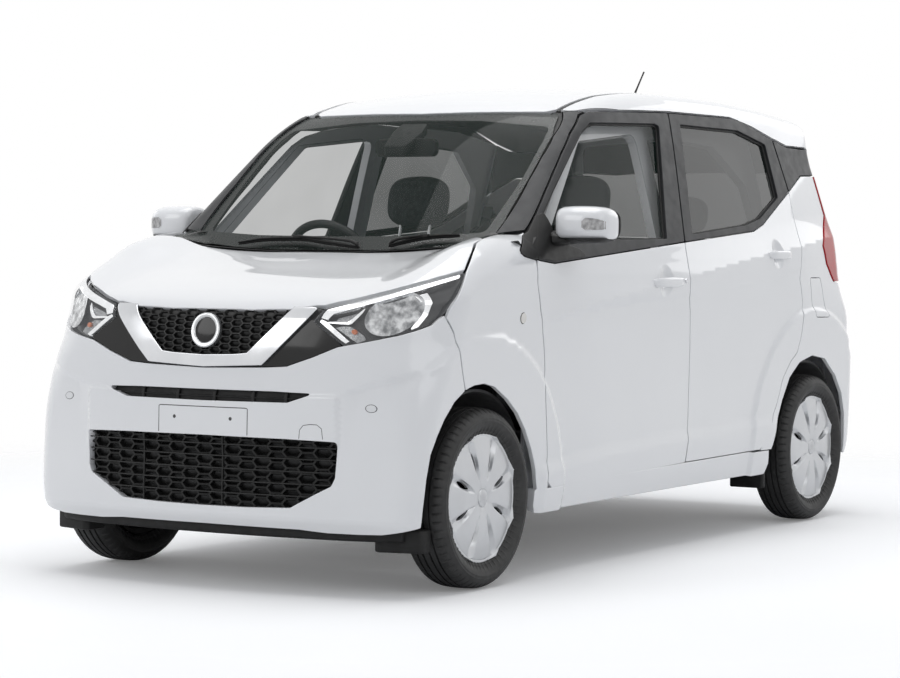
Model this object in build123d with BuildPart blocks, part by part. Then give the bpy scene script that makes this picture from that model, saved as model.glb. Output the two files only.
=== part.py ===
"""A tall five-door kei car, built as separate panels, glass, seats, running gear and wheels.

Millimetres. +X points forward, +Y to the car's left and +Z up. The origin is on the floor under the
middle of the car's length and width.
"""

import os
from math import cos, radians, sin

from build123d import *

os.makedirs("parts", exist_ok=True)

# ---------------------------------------------------------------- driving dimensions
LENGTH = 3395.0
WHEELBASE = 2495.0
FRONT_OVERHANG = 487.5
HALF_TRACK = 650.0
BODY_HALF = 737.5
ROOF_TOP = 1625.0

TYRE_R = 278.5
TYRE_HALF_W = 77.5
RIM_R = 190.0
COVER_R = 200.0
SPINDLE_R = 18.0

WALL = 60.0  # lower doors, fenders and quarters
CABIN_WALL = 45.0  # window frames, pillars and roof sides
ROOF_WALL = 35.0
BUMPER_WALL = 32.0
FRAME_WALL = 48.0  # posts and sills inboard of the doors
GLASS_INSET = 5.0  # fixed glass lies this far inside the outer surface
DOOR_GLASS_INSET = 18.0
GLASS_T = 5.0

GAP = 6.0  # shut line around a moving panel
SEAT_GAP = 0.3  # between fixed neighbours
ARCH_R = 340.0
HOOD_T = 32.0
FLOOR_Z = 215.0
FLOOR_T = 30.0
SILL_IN_Y = 580.0
STEER_Y = 635.0  # steering axis, half apart
PIN_INBOARD = 7.0  # door pins inside the widest skin
PIN_R = 3.5
FAR = 2600.0  # past the body on any side

# ---------------------------------------------------------------- places that follow from them
NOSE_X = LENGTH / 2
TAIL_X = -LENGTH / 2
FRONT_AXLE = NOSE_X - FRONT_OVERHANG
REAR_AXLE = FRONT_AXLE - WHEELBASE
PIN_Y = BODY_HALF - PIN_INBOARD

# The lower body, as plan outlines stacked on each other:
# height, half width, nose in from the front end, tail in from the rear end.
LOWER_LEVELS = [
    (200.0, BODY_HALF - 47.5, 25.0, 32.0),
    (240.0, BODY_HALF - 31.5, 0.0, 12.0),
    (420.0, BODY_HALF - 13.5, 0.0, 0.0),
    (620.0, BODY_HALF - 2.5, 5.0, 0.0),
    (880.0, BODY_HALF, 48.0, 26.0),
    (1000.0, BODY_HALF - 9.5, 100.0, 34.0),
    (1080.0, BODY_HALF - 25.5, 140.0, 42.0),
]
# The cabin, from inside the waist to the roof, with the same columns.
CABIN_LEVELS = [
    (1020.0, BODY_HALF - 37.5, 650.0, 60.0),
    (1080.0, BODY_HALF - 25.5, 708.0, 42.0),
    (1300.0, BODY_HALF - 80.5, 984.0, 95.0),
    (1500.0, BODY_HALF - 137.5, 1235.0, 130.0),
    (1550.0, BODY_HALF - 174.5, 1370.0, 145.0),
    (1590.0, BODY_HALF - 237.5, 1560.0, 180.0),
    (ROOF_TOP, BODY_HALF - 377.5, 1850.0, 230.0),
]
# How far each corner runs across and along.
NOSE_CORNER = (165.0, 150.0)
SCREEN_CORNER = (95.0, 75.0)
TAIL_CORNER = (125.0, 95.0)
NOSE_BOW = 0.17e-3
TAIL_BOW = 0.06e-3

# The bonnet's surface: back from the nose, and its height at the centre, at the flat's edge, at the crest
# and at the shoulder.
HOOD_HALVES = [0.0, 450.0, 655.0, 745.0]
HOOD_LINES = [
    (-60.0, 815.0, 800.0, 760.0, 690.0),
    (42.5, 862.0, 846.0, 820.0, 745.0),
    (137.5, 908.0, 893.0, 882.0, 807.0),
    (247.5, 938.0, 928.0, 940.0, 865.0),
    (397.5, 972.0, 964.0, 1010.0, 935.0),
    (517.5, 1001.0, 995.0, 1062.0, 987.0),
    (667.5, 1034.0, 1030.0, 1082.0, 1010.0),
    (800.0, 1052.0, 1050.0, 1088.0, 1020.0),
]
# The roof's surface along the car: back from the nose, height below the top.
ROOF_LINES = [
    (1100.0, 195.0),
    (1247.5, 115.0),
    (1397.5, 73.0),
    (1597.5, 25.0),
    (1997.5, 0.0),
    (2400.0, 2.0),
    (2700.0, 14.0),
    (3000.0, 36.0),
    (3300.0, 66.0),
    (3500.0, 90.0),
]

# Side-view outlines, as distance back from the nose and height.
FRONT_DOOR = [
    (836.5, 768.0), (830.0, 998.0), (837.0, 1150.0), (921.5, 1198.0), (1106.5, 1315.0), (1359.5, 1498.0),
    (1954.5, 1518.0), (1874.0, 1072.0), (1874.0, 900.0), (1877.5, 660.0), (1886.0, 500.0), (1897.5, 295.0),
    (925.0, 295.0), (863.5, 341.0),
]
REAR_DOOR = [
    (1897.5, 295.0), (1886.0, 500.0), (1877.5, 660.0), (1874.0, 900.0), (1874.0, 1072.0), (1954.5, 1518.0),
    (2576.5, 1516.0), (2861.5, 1463.0), (2870.5, 1265.0), (2841.5, 1048.0), (2829.5, 986.0),
    (2841.5, 847.0),
    (2801.5, 694.0), (2638.5, 578.0), (2574.5, 495.0), (2556.5, 411.0), (2507.5, 300.0), (2490.0, 295.0),
]
FRONT_DOOR_GLASS = [(931.5, 1071.0), (1736.5, 1072.0), (1856.5, 1474.0), (1367.5, 1455.0)]
REAR_DOOR_GLASS = [
    (1913.5, 1086.0), (2035.5, 1484.0), (2532.5, 1473.0), (2794.5, 1414.0), (2735.5, 1239.0),
    (2402.5, 1124.0),
]
WINDSCREEN = [
    (0.0, 1030.0), (300.0, 1034.0), (560.0, 1052.0), (608.0, 1074.0), (514.0, 1497.0), (300.0, 1507.0),
    (0.0, 1511.0),
]


def from_nose(points):
    """Side-view points, given back from the nose, as x and z."""
    return [(NOSE_X - back, height) for back, height in points]


def roof_z(back):
    """The roof's height this far back from the nose."""
    for (near, near_drop), (far, far_drop) in zip(ROOF_LINES, ROOF_LINES[1:]):
        if near <= back <= far:
            return ROOF_TOP - near_drop - (far_drop - near_drop) * (back - near) / (far - near)
    return ROOF_TOP


def plan_outline(level, nose_corner, inset):
    """One closed outline of eight edges: two end arcs, four corner arcs and two straight sides."""
    height, half, front, rear = level
    half -= inset
    nose = NOSE_X - front - inset
    tail = TAIL_X + rear + inset
    across, along = nose_corner
    tail_across, tail_along = TAIL_CORNER
    y_nose = half - across
    x_nose = nose - NOSE_BOW * y_nose**2
    y_tail = half - tail_across
    x_tail = tail + TAIL_BOW * y_tail**2
    x_side = x_nose - along
    x_rear_side = x_tail + tail_along
    turn = sin(radians(45))
    nose_middle = (x_side + along * turn, y_nose + across * turn)
    tail_middle = (x_rear_side - tail_along * turn, y_tail + tail_across * turn)
    with BuildSketch(Plane.XY.offset(height)) as face:
        with BuildLine():
            ThreePointArc((x_nose, -y_nose), (nose, 0), (x_nose, y_nose))
            ThreePointArc((x_nose, y_nose), nose_middle, (x_side, half))
            Line((x_side, half), (x_rear_side, half))
            ThreePointArc((x_rear_side, half), tail_middle, (x_tail, y_tail))
            ThreePointArc((x_tail, y_tail), (tail, 0), (x_tail, -y_tail))
            ThreePointArc((x_tail, -y_tail), (tail_middle[0], -tail_middle[1]), (x_rear_side, -half))
            Line((x_rear_side, -half), (x_side, -half))
            ThreePointArc((x_side, -half), (nose_middle[0], -nose_middle[1]), (x_nose, -y_nose))
        make_face()
    return face.sketch


def stacked_body(levels, nose_corner, inset, drop=0.0):
    """The solid inside a table of outlines, each moved in by inset and down by drop."""
    sections = []
    for height, half, front, rear in levels:
        sections.append(plan_outline((height - drop, half, front, rear), nose_corner, inset).face())
    with BuildPart() as body:
        loft(sections=sections, ruled=True)
    return body.part


def outer_body(inset, cabin_inset, drop):
    """The whole car's outside, moved in by these amounts."""
    lower = stacked_body(LOWER_LEVELS, NOSE_CORNER, inset) - hood_sky
    cabin = stacked_body(CABIN_LEVELS, SCREEN_CORNER, cabin_inset, drop)
    cabin = cabin - roof_sky.moved(Location((0, 0, -drop)))
    return lower + cabin


def cabin_body(inset, drop):
    """The cabin's outside alone."""
    return stacked_body(CABIN_LEVELS, SCREEN_CORNER, inset, drop) - roof_sky.moved(Location((0, 0, -drop)))


def side_prism(points, y_low=-FAR, y_high=FAR, grow=0.0):
    """A prism along Y from a side-view outline of x and z, grown or shrunk all round."""
    with BuildPart() as prism:
        with BuildSketch(Plane.XZ.offset(-y_high)):
            Polygon(*points, align=None)
            if grow:
                offset(amount=grow, kind=Kind.INTERSECTION)
        extrude(amount=y_high - y_low)
    return prism.part


def front_prism(points, x_low=-FAR, x_high=FAR, grow=0.0):
    """A prism along X from a front-view outline of y and z."""
    with BuildPart() as prism:
        with BuildSketch(Plane.YZ.offset(x_low)):
            Polygon(*points, align=None)
            if grow:
                offset(amount=grow, kind=Kind.INTERSECTION)
        extrude(amount=x_high - x_low)
    return prism.part


def plan_prism(points, z_low=-FAR, z_high=FAR, grow=0.0):
    """A prism along Z from a plan outline of x and y."""
    with BuildPart() as prism:
        with BuildSketch(Plane.XY.offset(z_low)):
            Polygon(*points, align=None)
            if grow:
                offset(amount=grow, kind=Kind.INTERSECTION)
        extrude(amount=z_high - z_low)
    return prism.part


def block(x_low, x_high, y_low, y_high, z_low, z_high):
    """A box between two corners."""
    size = (x_high - x_low, y_high - y_low, z_high - z_low)
    middle = ((x_high + x_low) / 2, (y_high + y_low) / 2, (z_high + z_low) / 2)
    with BuildPart() as box:
        with Locations(middle):
            Box(*size)
    return box.part


def rod(start, end, radius):
    """A round bar between two points."""
    way = Vector(*end) - Vector(*start)
    with BuildPart() as bar:
        with BuildSketch(Plane(origin=start, z_dir=way)):
            Circle(radius)
        extrude(amount=way.length)
    return bar.part


def axle_disc(axle_x, radius, y_low, y_high, centre_z=TYRE_R):
    """A cylinder along Y around a wheel's centre."""
    return rod((axle_x, y_low, centre_z), (axle_x, y_high, centre_z), radius)


def both_halves(outline):
    """A front-view half outline, closed with its mirror image."""
    return outline + [(-y, z) for y, z in reversed(outline) if y > 0]


def left_half(solid):
    return solid & block(-FAR, FAR, 0.0, FAR, -FAR, FAR)


def pair(solid):
    """A left-hand solid and its mirror image."""
    return [solid, solid.mirror(Plane.XZ)]


def biggest(solid):
    """The largest single solid, without slivers."""
    return max(solid.solids(), key=lambda piece: piece.volume)


def save(name, solids):
    """Write one node from one solid or from several that do not touch."""
    if not isinstance(solids, list):
        solids = [solids]
    pieces = []
    for solid in solids:
        pieces.extend(solid.solids())
    with BuildPart() as node:
        for piece in pieces:
            add(piece)
    node.part.label = name
    export_step(node.part, f"parts/{name}.step")


# ---------------------------------------------------------------- cutting surfaces
hood_faces = []
for side in (-3, -2, -1, 0, 1, 2, 3):
    place = HOOD_HALVES[abs(side)] * (1 if side > 0 else -1)
    line = []
    for row in HOOD_LINES:
        line.append((NOSE_X - row[0], row[1 + abs(side)]))
    line.append((NOSE_X - HOOD_LINES[-1][0], ROOF_TOP))
    line.append((NOSE_X - HOOD_LINES[0][0], ROOF_TOP))
    with BuildSketch(Plane.XZ.offset(-place)) as hood_face:
        Polygon(*line, align=None)
    hood_faces.append(hood_face.sketch.face())
with BuildPart() as hood_sky_part:
    loft(sections=hood_faces, ruled=True)
hood_sky = hood_sky_part.part

roof_line = [(NOSE_X - back, ROOF_TOP - below) for back, below in ROOF_LINES]
roof_sky = side_prism(
    roof_line + [(roof_line[-1][0] - 100, roof_line[-1][1]), (roof_line[-1][0] - 100, 2 * ROOF_TOP),
                 (roof_line[0][0], 2 * ROOF_TOP)]
)

outside = outer_body(0.0, 0.0, 0.0)
inside = outer_body(WALL, CABIN_WALL, ROOF_WALL)
shell = outside - inside
post_outside = outer_body(WALL + GAP, CABIN_WALL + GAP, ROOF_WALL + GAP)
post_inside = outer_body(WALL + GAP + FRAME_WALL, CABIN_WALL + GAP + FRAME_WALL, ROOF_WALL + GAP + FRAME_WALL)
frame_shell = left_half(post_outside) - post_inside
left_shell = left_half(shell)

front_door_line = from_nose(FRONT_DOOR)
rear_door_line = from_nose(REAR_DOOR)

# ---------------------------------------------------------------- doors and their hinges
DOOR_PINS = [
    # door, pin back from nose, tops and bottoms of its two hinge arms
    ("front", 847.5, [(650.0, 668.0), (820.0, 838.0)]),
    ("rear", 1886.0, [(670.0, 688.0), (830.0, 848.0)]),
]
ARM_HALF = 3.6
PIN_REACH = 24.0
SLOT_PLAY = 1.5
# Front-view limit of the doors: inboard of it lie the front pillars and the roof.
DOOR_LIMIT = [(137.5, 0.0), (137.5, 1040.0), (89.5, 1090.0), (202.5, 1530.0), (202.5, FAR), (-FAR, FAR),
              (-FAR, 0.0)]
door_limit = [(BODY_HALF - inboard, height) for inboard, height in DOOR_LIMIT]
door_zone = front_prism(door_limit)
door_zone_cut = front_prism(door_limit, grow=GAP)


def hinge_arms(pin_x, heights, post_y):
    """Arms from a post out to vertical pins."""
    arms = []
    for low, high in heights:
        arm = block(pin_x - ARM_HALF, pin_x + ARM_HALF, post_y, PIN_Y, low, high)
        pin = rod((pin_x, PIN_Y, low - PIN_REACH), (pin_x, PIN_Y, high + PIN_REACH), PIN_R)
        eye = rod((pin_x, PIN_Y, low), (pin_x, PIN_Y, high), ARM_HALF)
        arms.append(arm.cut(block(pin_x - FAR, pin_x + FAR, PIN_Y, PIN_Y + 10, low, high)) + pin + eye)
    return arms


def hinge_slots(pin_x, heights, lip):
    """Slots in a door's leading edge for those arms, and the bores for their pins."""
    slots = []
    for low, high in heights:
        slot = block(pin_x - ARM_HALF - SLOT_PLAY, lip + 1, 0, PIN_Y + ARM_HALF + 0.4, low - SLOT_PLAY,
                     high + SLOT_PLAY)
        bore_low = (pin_x, PIN_Y, low - PIN_REACH - 1)
        bore = rod(bore_low, (pin_x, PIN_Y, high + PIN_REACH + 1), PIN_R + SEAT_GAP)
        slots.append(slot + bore)
    return slots


door_slots = {}
door_arms = {}
for door, pin_back, heights in DOOR_PINS:
    pin_x = NOSE_X - pin_back
    door_slots[door] = hinge_slots(pin_x, heights, pin_x + 20)
    door_arms[door] = hinge_arms(pin_x, heights, BODY_HALF - WALL - GAP - 20)

front_window = side_prism(from_nose(FRONT_DOOR_GLASS))
rear_window = side_prism(from_nose(REAR_DOOR_GLASS))
front_door_cut = side_prism(front_door_line, grow=GAP / 2) & door_zone_cut
rear_door_cut = side_prism(rear_door_line, grow=GAP / 2)

door_side = left_shell & door_zone
front_door = door_side & side_prism(front_door_line, grow=-GAP / 2)
front_door = front_door - front_window
rear_door = door_side & side_prism(rear_door_line, grow=-GAP / 2)
rear_door = rear_door - rear_window - axle_disc(REAR_AXLE, ARCH_R, 0, FAR)
for slot in door_slots["front"]:
    front_door = front_door - slot
for slot in door_slots["rear"]:
    rear_door = rear_door - slot
# Pull handles: back and front ends in x, bottom and top, and the skin's y there.
HANDLES = [
    (-100.0, 120.0, 907.0, 948.0, 734.0),
    (-1022.0, -828.0, 1000.0, 1037.0, 724.0),
]
HANDLE_OUT = 15.0
HANDLE_FOOT = 32.0
CUP_R = 45.0
CUP_DEPTH = 12.0


def with_handle(door, handle):
    """The door with a cup in its skin and a handle across it."""
    x_low, x_high, z_low, z_high, skin_y = handle
    cup_x = (x_low + x_high) / 2
    cup_z = (z_low + z_high) / 2
    grip = block(x_low, x_high, skin_y + 3, skin_y + HANDLE_OUT, z_low, z_high)
    for foot_x in (x_low, x_high - HANDLE_FOOT):
        grip = grip + block(foot_x, foot_x + HANDLE_FOOT, skin_y - 10, skin_y + 5, z_low, z_high)
    return door - axle_disc(cup_x, CUP_R, skin_y - CUP_DEPTH, FAR, cup_z) + grip


front_door = with_handle(biggest(front_door), HANDLES[0])
rear_door = with_handle(biggest(rear_door), HANDLES[1])
for door, solid in (("front", front_door), ("rear", rear_door)):
    left, right = pair(solid)
    save(f"{door}_door_left", left)
    save(f"{door}_door_right", right)

door_glass_band = left_half(cabin_body(DOOR_GLASS_INSET, DOOR_GLASS_INSET)) - cabin_body(
    DOOR_GLASS_INSET + GLASS_T, DOOR_GLASS_INSET + GLASS_T
)
for door, outline in (("front", FRONT_DOOR_GLASS), ("rear", REAR_DOOR_GLASS)):
    glass = biggest(door_glass_band & side_prism(from_nose(outline), grow=-SEAT_GAP))
    left, right = pair(glass)
    save(f"{door}_door_glass_left", left)
    save(f"{door}_door_glass_right", right)

# ---------------------------------------------------------------- mirrors, carried by the front doors
MIRROR_X = NOSE_X - 967.5
MIRROR_Z = 1120.0
MIRROR_SIZE = (150.0, 185.0, 118.0)
MIRROR_IN_Y = 712.0
with BuildPart() as mirror:
    with Locations((MIRROR_X, MIRROR_IN_Y + MIRROR_SIZE[1] / 2, MIRROR_Z)):
        Box(*MIRROR_SIZE)
    chamfer(mirror.faces().sort_by(Axis.X)[-1].edges(), 38)
    with Locations((MIRROR_X - MIRROR_SIZE[0] / 2 + 6, MIRROR_IN_Y + MIRROR_SIZE[1] / 2, MIRROR_Z)):
        Box(12, MIRROR_SIZE[1] - 24, MIRROR_SIZE[2] - 24, mode=Mode.SUBTRACT)
    fillet(mirror.edges().filter_by(Axis.X).sort_by(Axis.Y)[-2:], 30)
    with Locations((MIRROR_X + 5, MIRROR_IN_Y - 8, MIRROR_Z - MIRROR_SIZE[2] / 2 + 24)):
        Box(70, 60, 26)
mirror_solid = biggest(mirror.part - outside)
left, right = pair(mirror_solid)
save("mirror_left", left)
save("mirror_right", right)

# ---------------------------------------------------------------- bonnet, with its hinge arms
HOOD_REAR = [(622.5, 0.0), (630.0, 200.0), (652.0, 420.0), (690.0, 600.0), (700.0, HOOD_HALVES[2])]
HOOD_PIN_BACK = 745.0
HOOD_PIN_Z = 995.0
HOOD_PIN_Y = 615.0
HOOD_ARM_T = 10.0
half_plan = [(NOSE_X - back, y) for back, y in HOOD_REAR] + [(FAR, HOOD_HALVES[2])]
hood_plan = half_plan + [(x, -y) for x, y in reversed(half_plan)]
HOOD_LIP_Z = 866.0
hood_region = plan_prism(hood_plan, 600, 1200) - block(
    NOSE_X - 110, FAR, -FAR, FAR, 0, HOOD_LIP_Z - 4
)
HEADLAMP = [(-906.5, 828.0), (-640.0, 905.0), (-470.0, 975.0), (-402.0, 978.0), (-469.0, 885.0),
            (-553.0, 824.0),
            (-819.0, 754.0)]
lamp_plane = Plane(origin=(0, 0, 0), x_dir=(-1, 1, 0), z_dir=(1, 1, 0))


def headlamp_prism(grow):
    with BuildPart() as prism:
        with BuildSketch(lamp_plane.offset(900)):
            Polygon(*HEADLAMP, align=None)
            if grow:
                offset(amount=grow, kind=Kind.INTERSECTION)
        extrude(amount=1200)
    return prism.part


lamp_cut = headlamp_prism(SEAT_GAP)
lamp_hood_cut = headlamp_prism(GAP)
hood_under = hood_sky.moved(Location((0, 0, -HOOD_T)))
hood = (stacked_body(LOWER_LEVELS, NOSE_CORNER, 0.0) & hood_under & hood_region) - hood_sky
hood = hood - lamp_hood_cut - lamp_hood_cut.mirror(Plane.XZ)
hood = biggest(hood)
hood_pin_x = NOSE_X - HOOD_PIN_BACK
for side in (1, -1):
    y_low = HOOD_PIN_Y - HOOD_ARM_T / 2
    arm = side_prism(
        [(hood_pin_x - 12, HOOD_PIN_Z - 12), (hood_pin_x + 110, HOOD_PIN_Z - 12),
         (hood_pin_x + 190, HOOD_PIN_Z + 12),
         (hood_pin_x + 190, HOOD_PIN_Z + 60), (hood_pin_x + 90, HOOD_PIN_Z + 60),
         (hood_pin_x + 60, HOOD_PIN_Z + 12),
         (hood_pin_x - 12, HOOD_PIN_Z + 12)],
        y_low, y_low + HOOD_ARM_T,
    )
    arm = arm - rod((hood_pin_x, 0, HOOD_PIN_Z), (hood_pin_x, FAR, HOOD_PIN_Z), PIN_R + 1 + SEAT_GAP)
    if side < 0:
        arm = arm.mirror(Plane.XZ)
    hood = hood + (arm - hood_under)
save("hood", hood)

# ---------------------------------------------------------------- fenders, with the bonnet's pins
SILL_ENDS = (NOSE_X - 846.0, NOSE_X - 2555.0)
SILL_Z = (205.0, 289.0)
BUMPER_SEAM = [(288.5, 845.0), (358.5, 614.0), (358.5, 400.0), (120.0, 150.0), (-200.0, 150.0),
               (-200.0, 1000.0),
               (240.0, 1000.0)]
bumper_side = side_prism(from_nose(BUMPER_SEAM))
bumper_side_cut = side_prism(from_nose(BUMPER_SEAM), grow=SEAT_GAP)
arch_cut = axle_disc(FRONT_AXLE, ARCH_R, -FAR, FAR)
rear_arch_cut = axle_disc(REAR_AXLE, ARCH_R, -FAR, FAR)
hood_side_cut = plan_prism(hood_plan, 600, 1200, grow=GAP)
fender = left_shell & block(SILL_ENDS[0] + SEAT_GAP, FAR, 0, FAR, 205, 1100)
fender = fender - front_door_cut - bumper_side_cut - arch_cut - lamp_cut - hood_side_cut
COWL_LINE = NOSE_X - 700.0
fender = fender - block(-FAR, NOSE_X - 640, 0, 640, 600, 1200) - block(-FAR, COWL_LINE, 0, FAR, 1022, 1200)
fender = biggest(fender)
pin_start = (hood_pin_x, HOOD_PIN_Y - HOOD_ARM_T, HOOD_PIN_Z)
pin = rod(pin_start, (hood_pin_x, BODY_HALF - 40, HOOD_PIN_Z), PIN_R + 1)
fender = fender + pin
save("front_fenders", pair(biggest(fender)))

# ---------------------------------------------------------------- nose
bumper_shell = outside - outer_body(BUMPER_WALL, BUMPER_WALL, BUMPER_WALL)
# Half outlines seen from the front, as y and z.
UPPER_GRILLE = [(0.0, 862.0), (302.0, 862.0), (364.0, 826.0), (476.0, 752.0), (460.0, 748.0),
                (295.0, 689.0),
                (0.0, 679.0)]
GRILLE_TRIM = [(0.0, 687.0), (205.0, 689.0), (217.0, 697.0), (338.0, 857.0), (300.0, 857.0), (172.0, 724.0),
               (0.0, 721.0)]
INTAKE = [(0.0, 612.0), (330.0, 612.0), (380.0, 607.0), (330.0, 587.0), (0.0, 580.0)]
INTAKE_DEPTH = 20.0
INTAKE_RIBS = (-255.0, -130.0, 0.0, 130.0, 255.0)
LOWER_GRILLE = [(0.0, 472.0), (469.0, 467.0), (459.0, 344.0), (313.0, 262.0), (0.0, 262.0)]
upper_opening = both_halves(UPPER_GRILLE)
lower_opening = both_halves(LOWER_GRILLE)
intake = front_prism(both_halves(INTAKE), 1000, FAR) - outer_body(INTAKE_DEPTH, INTAKE_DEPTH, INTAKE_DEPTH)
for place in INTAKE_RIBS:
    intake = intake - block(0, FAR, place - 4, place + 4, 0, FAR)
front_bumper = bumper_shell & bumper_side
front_bumper = front_bumper - arch_cut - block(-FAR, FAR, -FAR, FAR, HOOD_LIP_Z - 5, FAR)
front_bumper = front_bumper - lamp_cut - lamp_cut.mirror(Plane.XZ)
front_bumper = front_bumper - front_prism(upper_opening, 1000, FAR) - front_prism(lower_opening, 1000, FAR)
PLATE_BOLT_SPACING = 210.0
PLATE_BOLT_D = 6.0
PLATE_BOLT_Z = 525.0
for side in (1, -1):
    place = side * PLATE_BOLT_SPACING / 2
    bolt_hole = rod((NOSE_X - 100, place, PLATE_BOLT_Z), (FAR, place, PLATE_BOLT_Z), PLATE_BOLT_D / 2)
    front_bumper = front_bumper - bolt_hole
front_bumper = biggest(front_bumper - intake)
save("front_bumper", front_bumper)

# Each mesh: lowest row, row pitch, cell pitch, cell half width and half height, half width of its lowest
# row, how much wider each row above it is, number of rows, and radius left plain in the middle.
UPPER_MESH = (742.0, 21.0, 44.0, 17.0, 7.0, 165.0, 19.0, 6, 64.0)
LOWER_MESH = (290.0, 30.0, 68.0, 28.0, 11.0, 300.0, 32.0, 6, 0.0)
BADGE = (790.0, 54.0, 4.0)  # height, radius and how far its plain disc stands out


def mesh_cells(mesh):
    """Long hexagons in staggered rows, as prisms along X."""
    low, row_pitch, pitch, half_w, half_h, first_half, wider, rows, plain = mesh
    with BuildPart() as cells:
        with BuildSketch(Plane.YZ.offset(1000)):
            for row in range(rows):
                z = low + row * row_pitch
                half = first_half + row * wider
                shift = pitch / 2 if row % 2 else 0.0
                count = int(half / pitch) + 1
                for step in range(-count, count + 1):
                    y = step * pitch + shift
                    if abs(y) + half_w > half or y**2 + (z - BADGE[0]) ** 2 < plain**2:
                        continue
                    with Locations((y, z)):
                        Polygon(
                            (-half_w, 0), (-half_w * 0.6, -half_h), (half_w * 0.6, -half_h), (half_w, 0),
                            (half_w * 0.6, half_h), (-half_w * 0.6, half_h), align=None,
                        )
        extrude(amount=FAR)
    return cells.part


grille_body = outside - outer_body(24, 24, 24)
upper_grille = grille_body & front_prism(upper_opening, 1400, FAR, grow=-SEAT_GAP)
upper_grille = upper_grille - lamp_cut - lamp_cut.mirror(Plane.XZ)
upper_grille = upper_grille - block(-FAR, FAR, -FAR, FAR, HOOD_LIP_Z - 6, FAR)
upper_grille = upper_grille - (mesh_cells(UPPER_MESH) - outer_body(12, 12, 12))
badge_z, badge_r, badge_out = BADGE
badge = rod((NOSE_X - 60, 0, badge_z), (FAR, 0, badge_z), badge_r)
upper_grille = upper_grille + ((badge & outer_body(-badge_out, 0, 0)) - outer_body(10, 10, 10))
save("upper_grille", biggest(upper_grille))
TRIM_T = 5.0
trim = outer_body(-TRIM_T - SEAT_GAP, 0, 0) - outer_body(-SEAT_GAP, 0, 0)
trim = (trim & front_prism(both_halves(GRILLE_TRIM), 1400, FAR)) - lamp_cut - lamp_cut.mirror(Plane.XZ)
save("grille_trim", biggest(trim))
lower_grille = outer_body(12, 12, 12) - outer_body(30, 30, 30)
lower_grille = lower_grille & front_prism(lower_opening, 1400, FAR, grow=-SEAT_GAP)
lower_grille = lower_grille - mesh_cells(LOWER_MESH)
save("lower_grille", biggest(lower_grille))
headlamp = left_shell & headlamp_prism(0.0)
headlamp = headlamp - block(-FAR, FAR, 0, FAR, 0, 600)
save("headlamps", pair(biggest(headlamp)))

# ---------------------------------------------------------------- windscreen, cowl and front pillars
screen_outline = both_halves(WINDSCREEN)
screen_zone = (NOSE_X - 1330.0, FAR)
screen_band = cabin_body(GLASS_INSET, GLASS_INSET) - cabin_body(GLASS_INSET + GLASS_T, GLASS_INSET + GLASS_T)
windscreen = screen_band & front_prism(screen_outline, *screen_zone, grow=-SEAT_GAP)
windscreen = biggest(windscreen)
save("windscreen", windscreen)

DOOR_TOP = 1521.0
cabin_shell = cabin_body(0.0, 0.0) - cabin_body(CABIN_WALL, ROOF_WALL)
a_pillar = left_half(cabin_shell) & block(0, FAR, 0, FAR, 1024, DOOR_TOP - SEAT_GAP)
a_pillar = a_pillar - front_prism(screen_outline, *screen_zone) - front_door_cut
a_pillar = a_pillar & block(NOSE_X - 1400, FAR, 430, FAR, 0, FAR)
a_pillar = a_pillar - block(hood_pin_x - 15, FAR, 0, HOOD_PIN_Y + HOOD_ARM_T / 2 + GAP, 0, HOOD_PIN_Z + 47)
save("a_pillars", pair(biggest(a_pillar)))

COWL_TOP = 1024.0
FIREWALL_X = NOSE_X - 792.5
cowl_plan = [(FIREWALL_X - 60, 0), (FIREWALL_X - 60, 590), (NOSE_X - 705, 590), (NOSE_X - 664, 420),
             (NOSE_X - 642, 200),
             (NOSE_X - 634, 0)]
cowl = plan_prism(cowl_plan + [(x, -y) for x, y in reversed(cowl_plan)], COWL_TOP - 36, COWL_TOP)
cowl = cowl - hood_sky
save("cowl", biggest(cowl))

# ---------------------------------------------------------------- side frames: sills, posts and door hinges
sill = (outside & block(SILL_ENDS[1], SILL_ENDS[0], SILL_IN_Y, FAR, *SILL_Z)) - arch_cut - rear_arch_cut
A_POST = (NOSE_X - 900.0, NOSE_X - 800.0)
B_POST = (NOSE_X - 1940.0, NOSE_X - 1830.0)
side_frame = sill
for x_low, x_high, top in (A_POST + (COWL_TOP - SEAT_GAP,), B_POST + (DOOR_TOP - SEAT_GAP,)):
    side_frame = side_frame + (frame_shell & block(x_low, x_high, 0, FAR, 215, top))
side_frame = side_frame - arch_cut
for arms in door_arms.values():
    for arm in arms:
        side_frame = side_frame + arm
save("side_frames", pair(biggest(side_frame)))

# ---------------------------------------------------------------- roof, quarters and tail
TAILGATE_TOP_BACK = 3087.5
TAILGATE_TOP = NOSE_X - TAILGATE_TOP_BACK
TAILGATE = [(0.0, 632.0), (560.0, 632.0), (590.0, 700.0), (590.0, 880.0), (530.0, 900.0),
            (515.0, 1330.0), (506.0, FAR),
            (0.0, FAR)]
tailgate_outline = both_halves(TAILGATE)
roof_panel = cabin_shell & block(-FAR, FAR, -FAR, FAR, DOOR_TOP, FAR)
roof_panel = roof_panel - front_prism(screen_outline, *screen_zone)
roof_panel = roof_panel - block(-FAR, TAILGATE_TOP + GAP, -FAR, FAR, 0, FAR)
HATCH_PIN = (TAILGATE_TOP - 6.0, roof_z(TAILGATE_TOP_BACK) - PIN_INBOARD)
HATCH_ARM_Y = 380.0
HATCH_ARM_T = 24.0
HATCH_DROP = 50.0
hatch_slots = []
hatch_arms = []
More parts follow.
